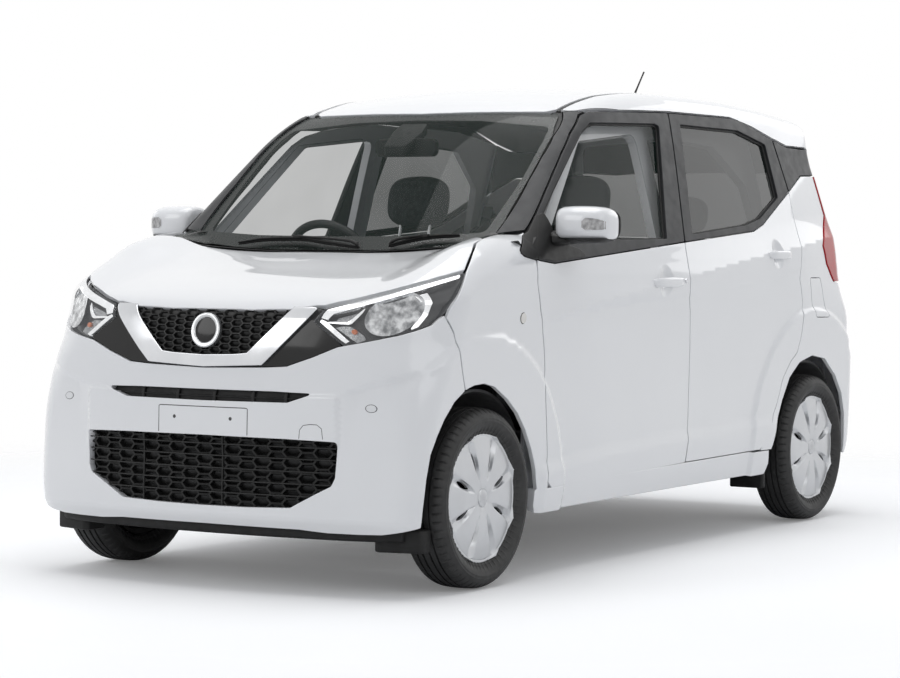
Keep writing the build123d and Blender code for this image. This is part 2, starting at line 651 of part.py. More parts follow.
for side in (1, -1):
    y_mid = side * HATCH_ARM_Y
    low, high = y_mid - HATCH_ARM_T / 2, y_mid + HATCH_ARM_T / 2
    px, pz = HATCH_PIN
    arm = block(px - 4, px + 4, low, high, pz - HATCH_DROP, pz)
    arm = arm + block(px - 4, TAILGATE_TOP + 60, low, high, pz - HATCH_DROP, pz - 36)
    arm = arm + block(TAILGATE_TOP + 44, TAILGATE_TOP + 60, low, high, pz - HATCH_DROP, pz + 5)
    arm = arm + rod((px, low - 14, pz), (px, high + 14, pz), PIN_R)
    hatch_arms.append(arm)
    slot = block(px - 7, px + 30, low - 2, high + 2, 0, pz + 4.5)
    slot = slot + rod((px, low - 15, pz), (px, high + 15, pz), PIN_R + SEAT_GAP)
    hatch_slots.append(slot)
for arm in hatch_arms:
    roof_panel = roof_panel + arm
save("roof_panel", biggest(roof_panel))

tailgate = shell & front_prism(tailgate_outline, -FAR, TAILGATE_TOP)
tailgate = tailgate - block(-FAR, FAR, -FAR, FAR, 0, 632)
for slot in hatch_slots:
    tailgate = tailgate - slot
REAR_GLASS = [(0.0, 1075.0), (480.0, 1085.0), (440.0, 1460.0), (0.0, 1475.0)]
rear_glass_outline = both_halves(REAR_GLASS)
tailgate = tailgate - front_prism(rear_glass_outline, -FAR, 0)
tailgate = biggest(tailgate)
save("tailgate", tailgate)
rear_band = cabin_body(GLASS_INSET, GLASS_INSET) - cabin_body(GLASS_INSET + GLASS_T, GLASS_INSET + GLASS_T)
tailgate_glass = biggest(rear_band & front_prism(rear_glass_outline, -FAR, NOSE_X - 3000, grow=-SEAT_GAP))
save("tailgate_glass", tailgate_glass)

TAIL_LAMP = [(3250.5, 1328.0), (3240.0, 1100.0), (3250.0, 1000.0), (3307.5, 907.0), (FAR + 2000, 907.0),
             (FAR + 2000, 1328.0)]
REAR_BUMPER = [(3197.5, 560.0), (3257.5, 632.0), (FAR + 2000, 632.0), (FAR + 2000, 150.0), (3150.0, 150.0),
               (3150.0, 560.0)]
tailgate_cut = front_prism(tailgate_outline, -FAR, TAILGATE_TOP + GAP, grow=GAP)
tail_lamp = left_shell & side_prism(from_nose(TAIL_LAMP))
tail_lamp = tail_lamp - tailgate_cut
save("tail_lamps", pair(biggest(tail_lamp)))
rear_bumper = (shell & side_prism(from_nose(REAR_BUMPER))) - rear_arch_cut
rear_bumper = rear_bumper - block(-FAR, FAR, -FAR, FAR, 632 - GAP, FAR) - block(-FAR, FAR, -FAR, FAR, 0, 272)
save("rear_bumper", biggest(rear_bumper))

quarter = left_shell & block(-FAR, NOSE_X - 2400, 0, FAR, 205, DOOR_TOP - SEAT_GAP)
quarter = quarter + (left_shell & block(-FAR, TAILGATE_TOP + GAP - SEAT_GAP, 0, FAR, DOOR_TOP - GAP, FAR))
quarter = quarter - rear_door_cut - tailgate_cut - rear_arch_cut
for outline in (TAIL_LAMP, REAR_BUMPER):
    quarter = quarter - side_prism(from_nose(outline), grow=SEAT_GAP)
quarter = quarter - block(SILL_ENDS[1] - SEAT_GAP, FAR, 0, FAR, 0, SILL_Z[1] + SEAT_GAP)
FUEL_LID = (NOSE_X - 3105.0, NOSE_X - 2920.0, 775.0, 925.0)
LID_T = 12.0
lid_box = block(FUEL_LID[0], FUEL_LID[1], 0, FAR, FUEL_LID[2], FUEL_LID[3])
lid_hole = block(FUEL_LID[0] - 5, FUEL_LID[1] + 5, BODY_HALF - 50, FAR, FUEL_LID[2] - 5, FUEL_LID[3] + 5)
quarter = biggest(quarter)
lid_pin = (FUEL_LID[1] - 5.0, BODY_HALF - 6.0)
lid_mid = (FUEL_LID[2] + FUEL_LID[3]) / 2
fuel_lid = (outside & lid_box) - outer_body(LID_T, LID_T, LID_T)
lid_slot = block(lid_pin[0] - 4, FUEL_LID[1] + 6, 0, lid_pin[1] + 3.5, lid_mid - 11, lid_mid + 11)
lid_bore = rod((*lid_pin, lid_mid - 31), (*lid_pin, lid_mid + 31), 2.0 + SEAT_GAP)
fuel_lid = biggest(fuel_lid - lid_slot - lid_bore)
save("fuel_lid", fuel_lid)
left_quarter = quarter - lid_hole
lid_arm = block(lid_pin[0] - 2.5, lid_pin[0] + 2.5, BODY_HALF - 52, lid_pin[1], lid_mid - 10, lid_mid + 10)
lid_arm = lid_arm + rod((lid_pin[0], lid_pin[1], lid_mid - 30), (lid_pin[0], lid_pin[1], lid_mid + 30), 2.0)
FILLER_X = NOSE_X - 3012.0
filler_cap = rod((FILLER_X, BODY_HALF - 52, lid_mid), (FILLER_X, BODY_HALF - 22, lid_mid), 35)
left_quarter = left_quarter + lid_arm + filler_cap
save("rear_quarters", [biggest(left_quarter), quarter.mirror(Plane.XZ)])

# ---------------------------------------------------------------- floor, wheelhouses and what hangs below
KICK_X = NOSE_X - 2557.5
LOAD_FLOOR_Z = 440.0
TUB_END = NOSE_X - 3330.0
tub_low = [(FIREWALL_X + FLOOR_T, COWL_TOP - 36.5), (FIREWALL_X + FLOOR_T, 330.0),
           (FIREWALL_X - 55, FLOOR_Z),
           (KICK_X, FLOOR_Z), (KICK_X - 120, LOAD_FLOOR_Z), (TUB_END, LOAD_FLOOR_Z)]
tub_high = [(TUB_END, LOAD_FLOOR_Z + FLOOR_T), (KICK_X - 108, LOAD_FLOOR_Z + FLOOR_T),
            (KICK_X + 12, FLOOR_Z + FLOOR_T),
            (FIREWALL_X - 67, FLOOR_Z + FLOOR_T), (FIREWALL_X, 345.0), (FIREWALL_X, COWL_TOP - 36.5)]
tub = side_prism(tub_low + tub_high, -SILL_IN_Y + SEAT_GAP, SILL_IN_Y - SEAT_GAP)
HOUSE_R = ARCH_R - 6.0
HOUSE_T = 8.0
REAR_HOUSE_Y = 520.0
tub = tub - axle_disc(REAR_AXLE, HOUSE_R + SEAT_GAP, REAR_HOUSE_Y - SEAT_GAP, FAR) - axle_disc(
    REAR_AXLE, HOUSE_R + SEAT_GAP, -FAR, -REAR_HOUSE_Y + SEAT_GAP
)
tub = tub & outer_body(WALL + SEAT_GAP, CABIN_WALL + SEAT_GAP, ROOF_WALL)
tub = biggest(tub)
save("floor_pan", tub)


def wheelhouse(axle_x, y_inner, y_outer, z_low):
    """Half a drum over a wheel, closed on its inner side."""
    drum = axle_disc(axle_x, HOUSE_R, y_inner, y_outer)
    drum = drum - axle_disc(axle_x, HOUSE_R - HOUSE_T, y_inner + HOUSE_T, FAR)
    return drum & block(-FAR, FAR, 0, FAR, z_low, FAR)


rear_house = wheelhouse(REAR_AXLE, REAR_HOUSE_Y, BODY_HALF - WALL + 30, 330) - shell
FRONT_HOUSE_Y = 392.0
front_house = wheelhouse(FRONT_AXLE, FRONT_HOUSE_Y, BODY_HALF - WALL + 30, 420) - shell
front_house = front_house & block(FIREWALL_X + FLOOR_T + SEAT_GAP, NOSE_X - 200, 0, FAR, 0, FAR)
save("front_wheelhouses", pair(biggest(front_house)))
save("rear_wheelhouses", pair(biggest(rear_house)))

RAIL_IN_Y = 352.0
RAIL_Z = (330.0, 420.0)
RAIL_END = NOSE_X - 105.0
engine_half = RAIL_IN_Y - SEAT_GAP
engine = block(FRONT_AXLE - 190, FRONT_AXLE + 250, -engine_half, engine_half, 250, 760)
save("engine", engine)
radiator = block(NOSE_X - 145, NOSE_X - 115, -engine_half, engine_half, 240, 640)
save("radiator", radiator)

STRUT_Z = 392.0
front_beam = block(FRONT_AXLE - 150, FRONT_AXLE - 30, -330, 330, 180, 230)
rail_out_y = FRONT_HOUSE_Y - SEAT_GAP
for side in (1, -1):
    rail = block(FIREWALL_X + FLOOR_T + SEAT_GAP, RAIL_END, RAIL_IN_Y, rail_out_y, *RAIL_Z)
    rail = rail + block(FRONT_AXLE - 130, FRONT_AXLE - 50, RAIL_IN_Y, rail_out_y - 6, 200, RAIL_Z[1])
    rail = rail + block(FRONT_AXLE - 130, FRONT_AXLE - 50, 300, rail_out_y - 6, 180, 230)
    front_beam = front_beam + (rail if side > 0 else rail.mirror(Plane.XZ))
for side in (1, -1):
    arm = plan_prism(
        [(FRONT_AXLE - 120, 320), (FRONT_AXLE - 40, 320), (FRONT_AXLE + 24, STEER_Y - 26),
         (FRONT_AXLE + 16, STEER_Y),
         (FRONT_AXLE - 16, STEER_Y), (FRONT_AXLE - 24, STEER_Y - 26)], 176, 196)
    arm = arm + rod((FRONT_AXLE, STEER_Y, 176), (FRONT_AXLE, STEER_Y, 206), 9)
    front_beam = front_beam + (arm if side > 0 else arm.mirror(Plane.XZ))
save("front_subframe", front_beam)
strut = rod((FRONT_AXLE, 545, STRUT_Z + 8), (FRONT_AXLE, 470, 602), 24)
strut = strut + block(FRONT_AXLE - 20, FRONT_AXLE + 20, 535, STEER_Y + 12, STRUT_Z, STRUT_Z + 18)
strut = strut + rod((FRONT_AXLE, STEER_Y, STRUT_Z - 22), (FRONT_AXLE, STEER_Y, STRUT_Z + 2), 9)
strut = strut & axle_disc(FRONT_AXLE, HOUSE_R - HOUSE_T - SEAT_GAP, 0, FAR)
save("struts", pair(biggest(strut)))

knuckle = block(FRONT_AXLE - 26, FRONT_AXLE + 26, STEER_Y - 24, STEER_Y + 18, 197, STRUT_Z - 1)
knuckle = knuckle - rod((FRONT_AXLE, STEER_Y, 100), (FRONT_AXLE, STEER_Y, 207), 9 + SEAT_GAP)
knuckle = knuckle - rod((FRONT_AXLE, STEER_Y, STRUT_Z - 23), (FRONT_AXLE, STEER_Y, 500), 9 + SEAT_GAP)
knuckle = knuckle + axle_disc(FRONT_AXLE, 40, STEER_Y + 10, STEER_Y + 28)
knuckle = knuckle + axle_disc(FRONT_AXLE, SPINDLE_R, STEER_Y + 20, HALF_TRACK + 38)
left, right = pair(biggest(knuckle))
save("knuckle_left", left)
save("knuckle_right", right)

rear_axle = block(REAR_AXLE + 130, REAR_AXLE + 210, -470, 470, 250, 310)
for side in (1, -1):
    arm = plan_prism(
        [(REAR_AXLE + 365, 430), (REAR_AXLE + 365, 480), (REAR_AXLE + 120, 500), (REAR_AXLE + 34, 622),
         (REAR_AXLE - 34, 622), (REAR_AXLE - 34, 590), (REAR_AXLE + 120, 440)], 250, 310)
    arm = arm + axle_disc(REAR_AXLE, 34, 585, 640) + axle_disc(REAR_AXLE, SPINDLE_R, 620, HALF_TRACK + 38)
    arm = arm + rod((REAR_AXLE + 60, 480, 300), (REAR_AXLE + 60, 470, LOAD_FLOOR_Z - SEAT_GAP), 22)
    arm = arm + block(REAR_AXLE + 315, REAR_AXLE + 365, 430, 480, 250, LOAD_FLOOR_Z)
    rear_axle = rear_axle + (arm if side > 0 else arm.mirror(Plane.XZ))
under_tub = side_prism(tub_low + [(TUB_END, FAR), (FAR, FAR), (FAR, COWL_TOP)], -FAR, FAR, grow=SEAT_GAP)
save("rear_axle", biggest(rear_axle - under_tub))
save("fuel_tank", block(NOSE_X - 2480, NOSE_X - 1900, -380, 120, 160, FLOOR_Z - SEAT_GAP))
exhaust = rod((FRONT_AXLE - 170, -140, 310), (FRONT_AXLE - 330, 250, 185), 22)
exhaust = exhaust + rod((FRONT_AXLE - 330, 250, 185), (REAR_AXLE + 420, 250, 185), 22)
exhaust = exhaust + rod((REAR_AXLE + 420, 250, 185), (REAR_AXLE + 230, 250, 215), 22)
exhaust = exhaust + rod((REAR_AXLE + 230, 250, 215), (REAR_AXLE - 60, 250, 220), 22)
exhaust = exhaust + block(REAR_AXLE - 250, REAR_AXLE - 60, 60, 420, 180, 300)
exhaust = exhaust + block(REAR_AXLE - 170, REAR_AXLE - 140, 230, 250, 290, LOAD_FLOOR_Z - SEAT_GAP)
exhaust = exhaust + rod((REAR_AXLE - 240, 350, 220), (TAIL_X + 40, 350, 220), 20)
exhaust = exhaust - block(FRONT_AXLE - 190 - SEAT_GAP, FAR, -FAR, FAR, 0, FAR)
save("exhaust", biggest(exhaust))

# ---------------------------------------------------------------- wheels
with BuildPart() as tyre:
    with BuildSketch(Plane.XY):
        Polygon(
            (RIM_R, -42), (204, -48), (238, -TYRE_HALF_W), (264, -68), (TYRE_R, -48), (TYRE_R, 48),
            (264, 68),
            (238, TYRE_HALF_W), (204, 48), (RIM_R, 42), align=None,
        )
    revolve(axis=Axis.Y, revolution_arc=360)
COVER_Y = 56.0
with BuildPart() as wheel:
    with BuildSketch(Plane.XY):
        Polygon(
            (SPINDLE_R + SEAT_GAP, 20), (SPINDLE_R + SEAT_GAP, 38.5), (30, 38.5), (30, 53),
            (COVER_R - 30, COVER_Y),
            (COVER_R, COVER_Y - 3), (COVER_R, COVER_Y - 7), (RIM_R - SEAT_GAP, COVER_Y - 7),
            (RIM_R - SEAT_GAP, -60),
            (RIM_R - 12, -60), (RIM_R - 12, 34), (60, 34), (60, 20), align=None,
        )
    revolve(axis=Axis.Y, revolution_arc=360)
    with Locations((0, 52, 0)):
        Cylinder(radius=31, height=8, rotation=(90, 0, 0))
# Eight broad blades: between two of them a groove, a slot through the disc and a notch in the rim.
BLADES = 8
SLOT_R = (92.0, 150.0)
SLOT_HALF = 9.0
GROOVE_DEPTH = 4.0
NOTCH = [(178.0, 0.0), (COVER_R + 4, -15.0), (COVER_R + 4, 15.0)]
blade_gap = block(*SLOT_R, 36, 100, -SLOT_HALF, SLOT_HALF)
blade_gap = blade_gap + block(62, RIM_R - 4, COVER_Y - GROOVE_DEPTH, 100, -3, 3)
blade_gap = blade_gap + side_prism(NOTCH, COVER_Y - GROOVE_DEPTH, 100)
wheel_solid = wheel.part
for turn in range(BLADES):
    wheel_solid = wheel_solid - blade_gap.rotate(Axis.Y, (turn + 0.5) * 360 / BLADES)
wheel_solid = biggest(wheel_solid)
for name, axle_x, side in (
    ("front_left", FRONT_AXLE, 1), ("front_right", FRONT_AXLE, -1),
    ("rear_left", REAR_AXLE, 1), ("rear_right", REAR_AXLE, -1),
):
    for kind, solid in (("tyre", tyre.part), ("wheel", wheel_solid)):
        placed = solid.moved(Location((axle_x, HALF_TRACK, TYRE_R)))
        if side < 0:
            placed = placed.mirror(Plane.XZ)
        save(f"{kind}_{name}", placed)

# ---------------------------------------------------------------- inside
DASH = [(FIREWALL_X - SEAT_GAP, 960.0), (FIREWALL_X - SEAT_GAP, 760.0), (FIREWALL_X - 120, 700.0),
        (FIREWALL_X - 270, 740.0), (FIREWALL_X - 300, 860.0), (FIREWALL_X - 260, 960.0),
        (FIREWALL_X - 160, 985.0)]
DASH_HALF = 585.0
dash = side_prism(DASH, -DASH_HALF, DASH_HALF)
save("dashboard", dash)
WHEEL_Y = -330.0
COLUMN_TILT = 27.0
RING_R = 175.0
RING_T = 15.0
wheel_way = Vector(-cos(radians(COLUMN_TILT)), 0, sin(radians(COLUMN_TILT)))
RING_AT = Vector(NOSE_X - 1225.0, WHEEL_Y, 965.0)
column_end = RING_AT - wheel_way * 40
column = rod(tuple(column_end), tuple(RING_AT - wheel_way * 400), 32)
column = biggest(column - side_prism(DASH, -FAR, FAR, grow=SEAT_GAP))
save("steering_column", column)
with BuildPart() as ring:
    with BuildSketch(Plane.XZ):
        with Locations((RING_R, 0)):
            Circle(RING_T)
    revolve(axis=Axis.Z, revolution_arc=360)
ring_solid = ring.part
with BuildPart() as hub:
    with Locations((0, 0, -10)):
        Cylinder(radius=62, height=40)
ring_solid = ring_solid + hub.part
for turn in (0, 180, 270):
    ring_solid = ring_solid + block(40, RING_R, -16, 16, -8, 6).rotate(Axis.Z, turn)
ring_solid = ring_solid + rod((0, 0, -39.7), (0, 0, -20), 24)
ring_plane = Plane(origin=tuple(RING_AT), x_dir=(0, -1, 0), z_dir=tuple(wheel_way))
save("steering_wheel", biggest(ring_solid.moved(ring_plane.location)))

SEAT_Y = 330.0
SEAT_W = 470.0
seat_profile = [
    # x, z from the rear lower corner of the cushion, up the back and along the front
    (NOSE_X - 1290, 300), (NOSE_X - 1180, 470), (NOSE_X - 1200, 560), (NOSE_X - 1620, 560),
    (NOSE_X - 1720, 1080),
    (NOSE_X - 1730, 1300), (NOSE_X - 1810, 1300), (NOSE_X - 1830, 1080), (NOSE_X - 1760, 520),
    (NOSE_X - 1700, 300),
]
seat = side_prism(seat_profile, SEAT_Y - SEAT_W / 2, SEAT_Y + SEAT_W / 2)
for side in (1, -1):
    low = SEAT_Y + side * 150
    high = low + side * 200
    cut = block(NOSE_X - 1900, NOSE_X - 1650, min(low, high), max(low, high), 1090, 1400)
    seat = seat - cut
seat_foot_z = FLOOR_Z + FLOOR_T + SEAT_GAP
seat = seat + block(NOSE_X - 1660, NOSE_X - 1300, SEAT_Y - 190, SEAT_Y + 190, seat_foot_z, 310)
save("front_seats", pair(biggest(seat)))
rear_profile = [
    (NOSE_X - 2160, 300), (NOSE_X - 2090, 480), (NOSE_X - 2110, 545), (NOSE_X - 2500, 545),
    (NOSE_X - 2600, 1100),
    (NOSE_X - 2690, 1100), (NOSE_X - 2690, LOAD_FLOOR_Z + FLOOR_T + 8),
    (NOSE_X - 2640, LOAD_FLOOR_Z + FLOOR_T + 0.6), (NOSE_X - 2540, 330),
]
rear_seat = side_prism(rear_profile, -540, 540)
rear_seat = rear_seat + block(NOSE_X - 2480, NOSE_X - 2200, -500, 500, FLOOR_Z + FLOOR_T + SEAT_GAP, 310)
for place in (-290.0, 290.0):
    rear_seat = rear_seat + block(NOSE_X - 2690, NOSE_X - 2610, place - 140, place + 140, 1090, 1270)
rear_seat = rear_seat - axle_disc(REAR_AXLE, HOUSE_R + 8, REAR_HOUSE_Y - 8, FAR)
rear_seat = rear_seat - axle_disc(REAR_AXLE, HOUSE_R + 8, -FAR, -REAR_HOUSE_Y + 8)
save("rear_seat", biggest(rear_seat))

INNER_MIRROR = (NOSE_X - 1157.5, 10.0, 1380.0)
INNER_MIRROR_SIZE = (26.0, 236.0, 62.0)
mirror_x, mirror_y, mirror_z = INNER_MIRROR
with BuildPart() as inner_mirror:
    with Locations(INNER_MIRROR):
        Box(*INNER_MIRROR_SIZE)
    fillet(inner_mirror.edges().filter_by(Axis.X), 22)
stalk = rod((mirror_x, mirror_y, mirror_z + 20), (mirror_x - 22, mirror_y, 1500), 11)
screen_inside = GLASS_INSET + GLASS_T + SEAT_GAP
inner_mirror_solid = (inner_mirror.part + stalk) & cabin_body(screen_inside, screen_inside)
save("interior_mirror", biggest(inner_mirror_solid))

ANTENNA_BASE = NOSE_X - 2840.5
antenna = rod((ANTENNA_BASE + 10, 0, 1580), (ANTENNA_BASE - 12, 0, 1640), 20)
antenna = antenna + rod((ANTENNA_BASE - 8, 0, 1630), (ANTENNA_BASE - 96, 0, 1733), 4)
antenna = antenna - outside.moved(Location((0, 0, SEAT_GAP)))
save("antenna", biggest(antenna))
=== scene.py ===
"""Dresses the kei car: painted panels, glass, lamps, wheels, seats and a studio, in metres."""

import math

import bmesh
import bpy
import numpy as np
from mathutils import Matrix, Vector
from mathutils.geometry import delaunay_2d_cdt


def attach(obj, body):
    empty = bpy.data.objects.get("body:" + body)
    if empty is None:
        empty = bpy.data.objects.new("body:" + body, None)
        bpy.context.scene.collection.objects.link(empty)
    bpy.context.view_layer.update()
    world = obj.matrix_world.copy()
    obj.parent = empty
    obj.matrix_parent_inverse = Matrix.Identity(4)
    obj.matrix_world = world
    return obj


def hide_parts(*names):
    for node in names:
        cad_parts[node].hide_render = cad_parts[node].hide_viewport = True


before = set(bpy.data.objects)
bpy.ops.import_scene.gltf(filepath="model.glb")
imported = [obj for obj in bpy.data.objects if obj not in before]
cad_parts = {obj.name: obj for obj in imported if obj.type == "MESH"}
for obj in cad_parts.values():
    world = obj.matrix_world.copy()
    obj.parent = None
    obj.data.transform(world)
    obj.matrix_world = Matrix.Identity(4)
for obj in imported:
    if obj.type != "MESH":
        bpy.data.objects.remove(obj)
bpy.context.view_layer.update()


# ---------------------------------------- curves and blends
def pchip(xs, ys):
    """A smooth curve through a table that never overshoots it, straight beyond its ends."""
    xs, ys = np.array(xs, float), np.array(ys, float)
    if xs[0] > xs[-1]:
        xs, ys = xs[::-1], ys[::-1]
    h = np.diff(xs)
    d = np.diff(ys) / h
    m = np.zeros_like(xs)
    same = d[:-1] * d[1:] > 0
    w1, w2 = 2 * h[1:] + h[:-1], h[1:] + 2 * h[:-1]
    m[1:-1][same] = ((w1 + w2)[same]) / (w1[same] / d[:-1][same] + w2[same] / d[1:][same])
    m[0], m[-1] = d[0], d[-1]

    def curve(x):
        x = np.asarray(x, float)
        k = np.clip(np.searchsorted(xs, x) - 1, 0, len(h) - 1)
        t = np.clip((x - xs[k]) / h[k], 0, 1)
        a, b = ys[k], ys[k + 1]
        value = (2 * t**3 - 3 * t**2 + 1) * a + (t**3 - 2 * t**2 + t) * h[k] * m[k]
        value += (-2 * t**3 + 3 * t**2) * b + (t**3 - t**2) * h[k] * m[k + 1]
        value += np.where(x < xs[0], (x - xs[0]) * m[0], 0) + np.where(x > xs[-1], (x - xs[-1]) * m[-1], 0)
        return value
    return curve


def step(x, a, b):
    """Rises smoothly from 0 at a to 1 at b."""
    t = np.clip((x - a) / (b - a), 0, 1)
    return t * t * (3 - 2 * t)


def round_and(a, b, r):
    """The inside of both surfaces, their corner rounded to radius r."""
    return np.minimum(-r, np.maximum(a, b)) + np.hypot(np.maximum(r + a, 0), np.maximum(r + b, 0))


# ---------------------------------------- the body's surface
side_w = pchip([.17, .2, .25, .3, .42, .62, .75, .85, .9, .95, 1.00, 1.04, 1.08, 1.15, 1.3, 1.45, 1.5,
    1.6], [.684, .692, .702, .708, .714, .72, .7235, .7285, .7325, .7325, .7275, .7205, .7115, .694, .657,
    .617, .602, .568])
crease_top = pchip([-1.7, -1.1, -.65, -.16, .125, .5, .67, .86, 1.1],
    [1.1, 1.046, 1.001, .942, .911, .867, .842, .818, .8])
crease_low = pchip([-1.7, -1.11, -.67, -.17, .41, .665, .85, 1.1],
    [1.0, .951, .914, .87, .847, .825, .806, .79])
crease_deep = pchip([-1.75, -1.45, -1.1, -.2, .5, .75, .93, 1.05],
    [.002, .009, .0125, .0125, .009, .004, 0, 0])
flare_z = pchip([-1.0, -.755, -.174, .388, .815, 1.0], [.396, .394, .383, .367, .339, .33])
front_x = pchip(
    [.17, .2, .235, .3, .45, .6, .7, .8, .86, .9, .95, 1.0, 1.1],
    [1.655, 1.676, 1.696, 1.6965, 1.6905, 1.687, 1.685, 1.672, 1.655, 1.64, 1.615, 1.585, 1.52],
)
rear_x = pchip(
    [.2, .25, .3, .45, .62, .66, .88, 1.06, 1.2, 1.3, 1.45, 1.56, 1.62],
    [-1.66, -1.688, -1.697, -1.6975, -1.694, -1.676, -1.672, -1.66, -1.63, -1.603, -1.572, -1.59, -1.6],
)
roof_x = pchip(
    [.62, .45, .3, .1, -.1, -.3, -.7, -1.00, -1.3, -1.6, -1.8],
    [1.428, 1.504, 1.551, 1.592, 1.611, 1.618, 1.616, 1.605, 1.584, 1.556, 1.532],
)
nose_round = pchip([.15, .3, .5, .6, .68, .77, .86, .95, 1.05],
    [.06, .066, .085, .115, .16, .225, .245, .19, .15])
HOOD_Y = [0.0, .45, .655, .745]
hood_cols = [
    pchip([1.8, 1.7575, 1.655, 1.56, 1.45, 1.3, 1.18, 1.03, .8975], col)
    for col in (
        [.79, .812, .862, .906, .94, .975, 1.004, 1.036, 1.056],
        [.775, .797, .848, .897, .935, .977, 1.011, 1.042, 1.056],
        [.735, .757, .82, .878, .935, 1.003, 1.054, 1.08, 1.086],
        [.665, .687, .745, .803, .86, .93, .982, 1.01, 1.02],
    )
]
ARCHES = [(1.222, .272, .512), (-1.262, .268, .548)]


def hood_z(x, ay):
    """The bonnet's height, a smooth curve sideways through its four lengthwise ones."""
    v = [c(x) for c in hood_cols]
    ys = HOOD_Y
    s = [(v[k + 1] - v[k]) / (ys[k + 1] - ys[k]) for k in range(3)]
    m = [0 * v[0], (s[0] + s[1]) / 2, (s[1] + s[2]) / 2, s[2]]
    out = v[3] + (ay - ys[3]) * s[2]
    for k in (2, 1, 0):
        h = ys[k + 1] - ys[k]
        t = np.clip((ay - ys[k]) / h, 0, 1)
        seg = (2 * t**3 - 3 * t**2 + 1) * v[k] + (t**3 - 2 * t**2 + t) * h * m[k]
        seg += (-2 * t**3 + 3 * t**2) * v[k + 1] + (t**3 - t**2) * h * m[k + 1]
        out = np.where(ay < ys[k + 1], seg, out)
    return out


def half_width(x, z):
    """The side's distance from the middle, with its creases, arches, handle cups and flare."""
    w = side_w(z)
    top, low = crease_top(x), crease_low(x)
    deep = crease_deep(x)
    up = np.clip((z - low) / (top - low), 0, 1)
    fall = np.clip(1 - (z - top) / .11, 0, 1) ** 2
    w = w + deep * np.where(z < top, up, fall) - deep * .35
    for ax, az, r in ARCHES:
        d = np.hypot(x - ax, z - az)
        w = w + .0115 * (1 - step(d, r - .018, r + .012)) * (1 - step(z, .78, .9))
    w = w - .042 * np.clip((-1.12 - x) / .5, 0, 1.2) ** 1.4 * step(z, .76,
        .95) * (1 - .5 * step(z, 1.35, 1.5))
    for cx, cz in ((.018, .932), (-.917, 1.02)):
        near = np.clip(1 - ((x - cx) / .052) ** 2 - ((z - cz) / .056) ** 2, 0, 1)
        w = w - .0135 * near ** 1.3
    zone = step(x, -.96, -.9) * (1 - step(x, .84, .9))
    fz = flare_z(x)
    w = w + zone * .0105 * (1 - step(z, fz - .012, fz + .03))
    return w


def body(P):
    """Negative inside the car's outer skin and near a distance outside it."""
    x, y, z = P[:, 0], P[:, 1], P[:, 2]
    ay = np.abs(y)
    side = ay - half_width(x, z)
    front = x - (front_x(z) - .17 * ay**2 + nose_shape(ay, z))
    rear = rear_x(z) + .06 * ay**2 - x
    hood = z - hood_z(x, ay)
    low = round_and(side, front, nose_round(z))
    low = round_and(low, hood, .035)
    screen = (x - (.9895 - 1.255 * (z - 1.08) - .17 * ay**2)) / 1.605
    roof = z - (roof_x(x) - .113 * ay**2)
    cab = round_and(side, screen, .075)
    cab = np.maximum(round_and(cab, roof, .055), .92 - z)
    return round_and(np.minimum(low, cab), rear, .064 + .06 * step(z, .72, .97))


def nose_shape(ay, z):
    """The raised block round the slot and plate, and the creases of the bumper's corners."""
    block = (1 - step(ay, .462, .474)) * step(z, .4, .47) * (1 - step(z, .596, .606))
    out = .0065 * block
    # the corner's facets: a crease that climbs outward from the block's top corner
    line = .606 + .3 * np.clip(ay - .467, 0, 1)
    over = (1 - step(z, line - .012, line + .012)) * step(ay, .462, .53)
    out = out - .01 * over * (1 - step(line - z, .0, .2)) * step(z, .3, .44)
    return out


PROBE = .0012


def gradient(P):
    """The way out of the skin near each point."""
    g = np.zeros_like(P)
    for k in range(3):
        d = np.zeros(3)
        d[k] = PROBE
        g[:, k] = body(P + d) - body(P - d)
    return g / np.linalg.norm(g, axis=1)[:, None]


STRIDE, BACKWARD = .92, -.02
SMALL, SHALLOW, LAST_STEP = 1e-4, .08, .01


def trace(origin, way, reach=2.4, rounds=30):
    """Where rays from outside first meet the skin."""
    t = np.zeros(len(origin))
    for _ in range(rounds):
        f = body(origin + way * t[:, None])
        t = np.clip(t + np.maximum(f, BACKWARD) * STRIDE, 0, reach)
    for _ in range(3):
        f0 = body(origin + way * t[:, None])
        f1 = body(origin + way * (t + SMALL)[:, None])
        s = (f1 - f0) / SMALL
        s = np.where(np.abs(s) < SHALLOW, -SHALLOW, s)
        t = t - np.clip(f0 / s, -LAST_STEP, LAST_STEP)
    return origin + way * t[:, None]


# ---------------------------------------- ways to lay a flat outline on the skin
class FlatWay:
    """Outline in two axes, laid on along the third from a start outside the car."""
    def __init__(self, axes, start):
        self.axes, self.start = list(axes), start

    def rays(self, ab):
        o, way = np.full((len(ab), 3), self.start), np.zeros((len(ab), 3))
        o[:, self.axes] = ab
        way[:, 3 - sum(self.axes)] = -np.sign(self.start)
        return o, way

    def flat(self, P):
        return P[:, self.axes]


class RoundWay:
    """Outline in arc length round an upright axis and z, laid on from all sides."""
    def __init__(self, x0, scale, facing=1):
        self.x0, self.scale, self.facing = x0, scale, facing

    def rays(self, ab):
        phi = ab[:, 0] / self.scale
        way = np.column_stack([-np.cos(phi) * self.facing, -np.sin(phi), np.zeros(len(ab))])
        o = np.column_stack([np.full(len(ab), self.x0), np.zeros(len(ab)), ab[:, 1]])
        far = np.minimum(1.9, .82 / np.maximum(np.abs(np.sin(phi)), .3))
        return o - way * far[:, None], way

    def flat(self, P):
        phi = np.arctan2(P[:, 1], (P[:, 0] - self.x0) * self.facing)
        return np.column_stack([phi * self.scale, P[:, 2]])


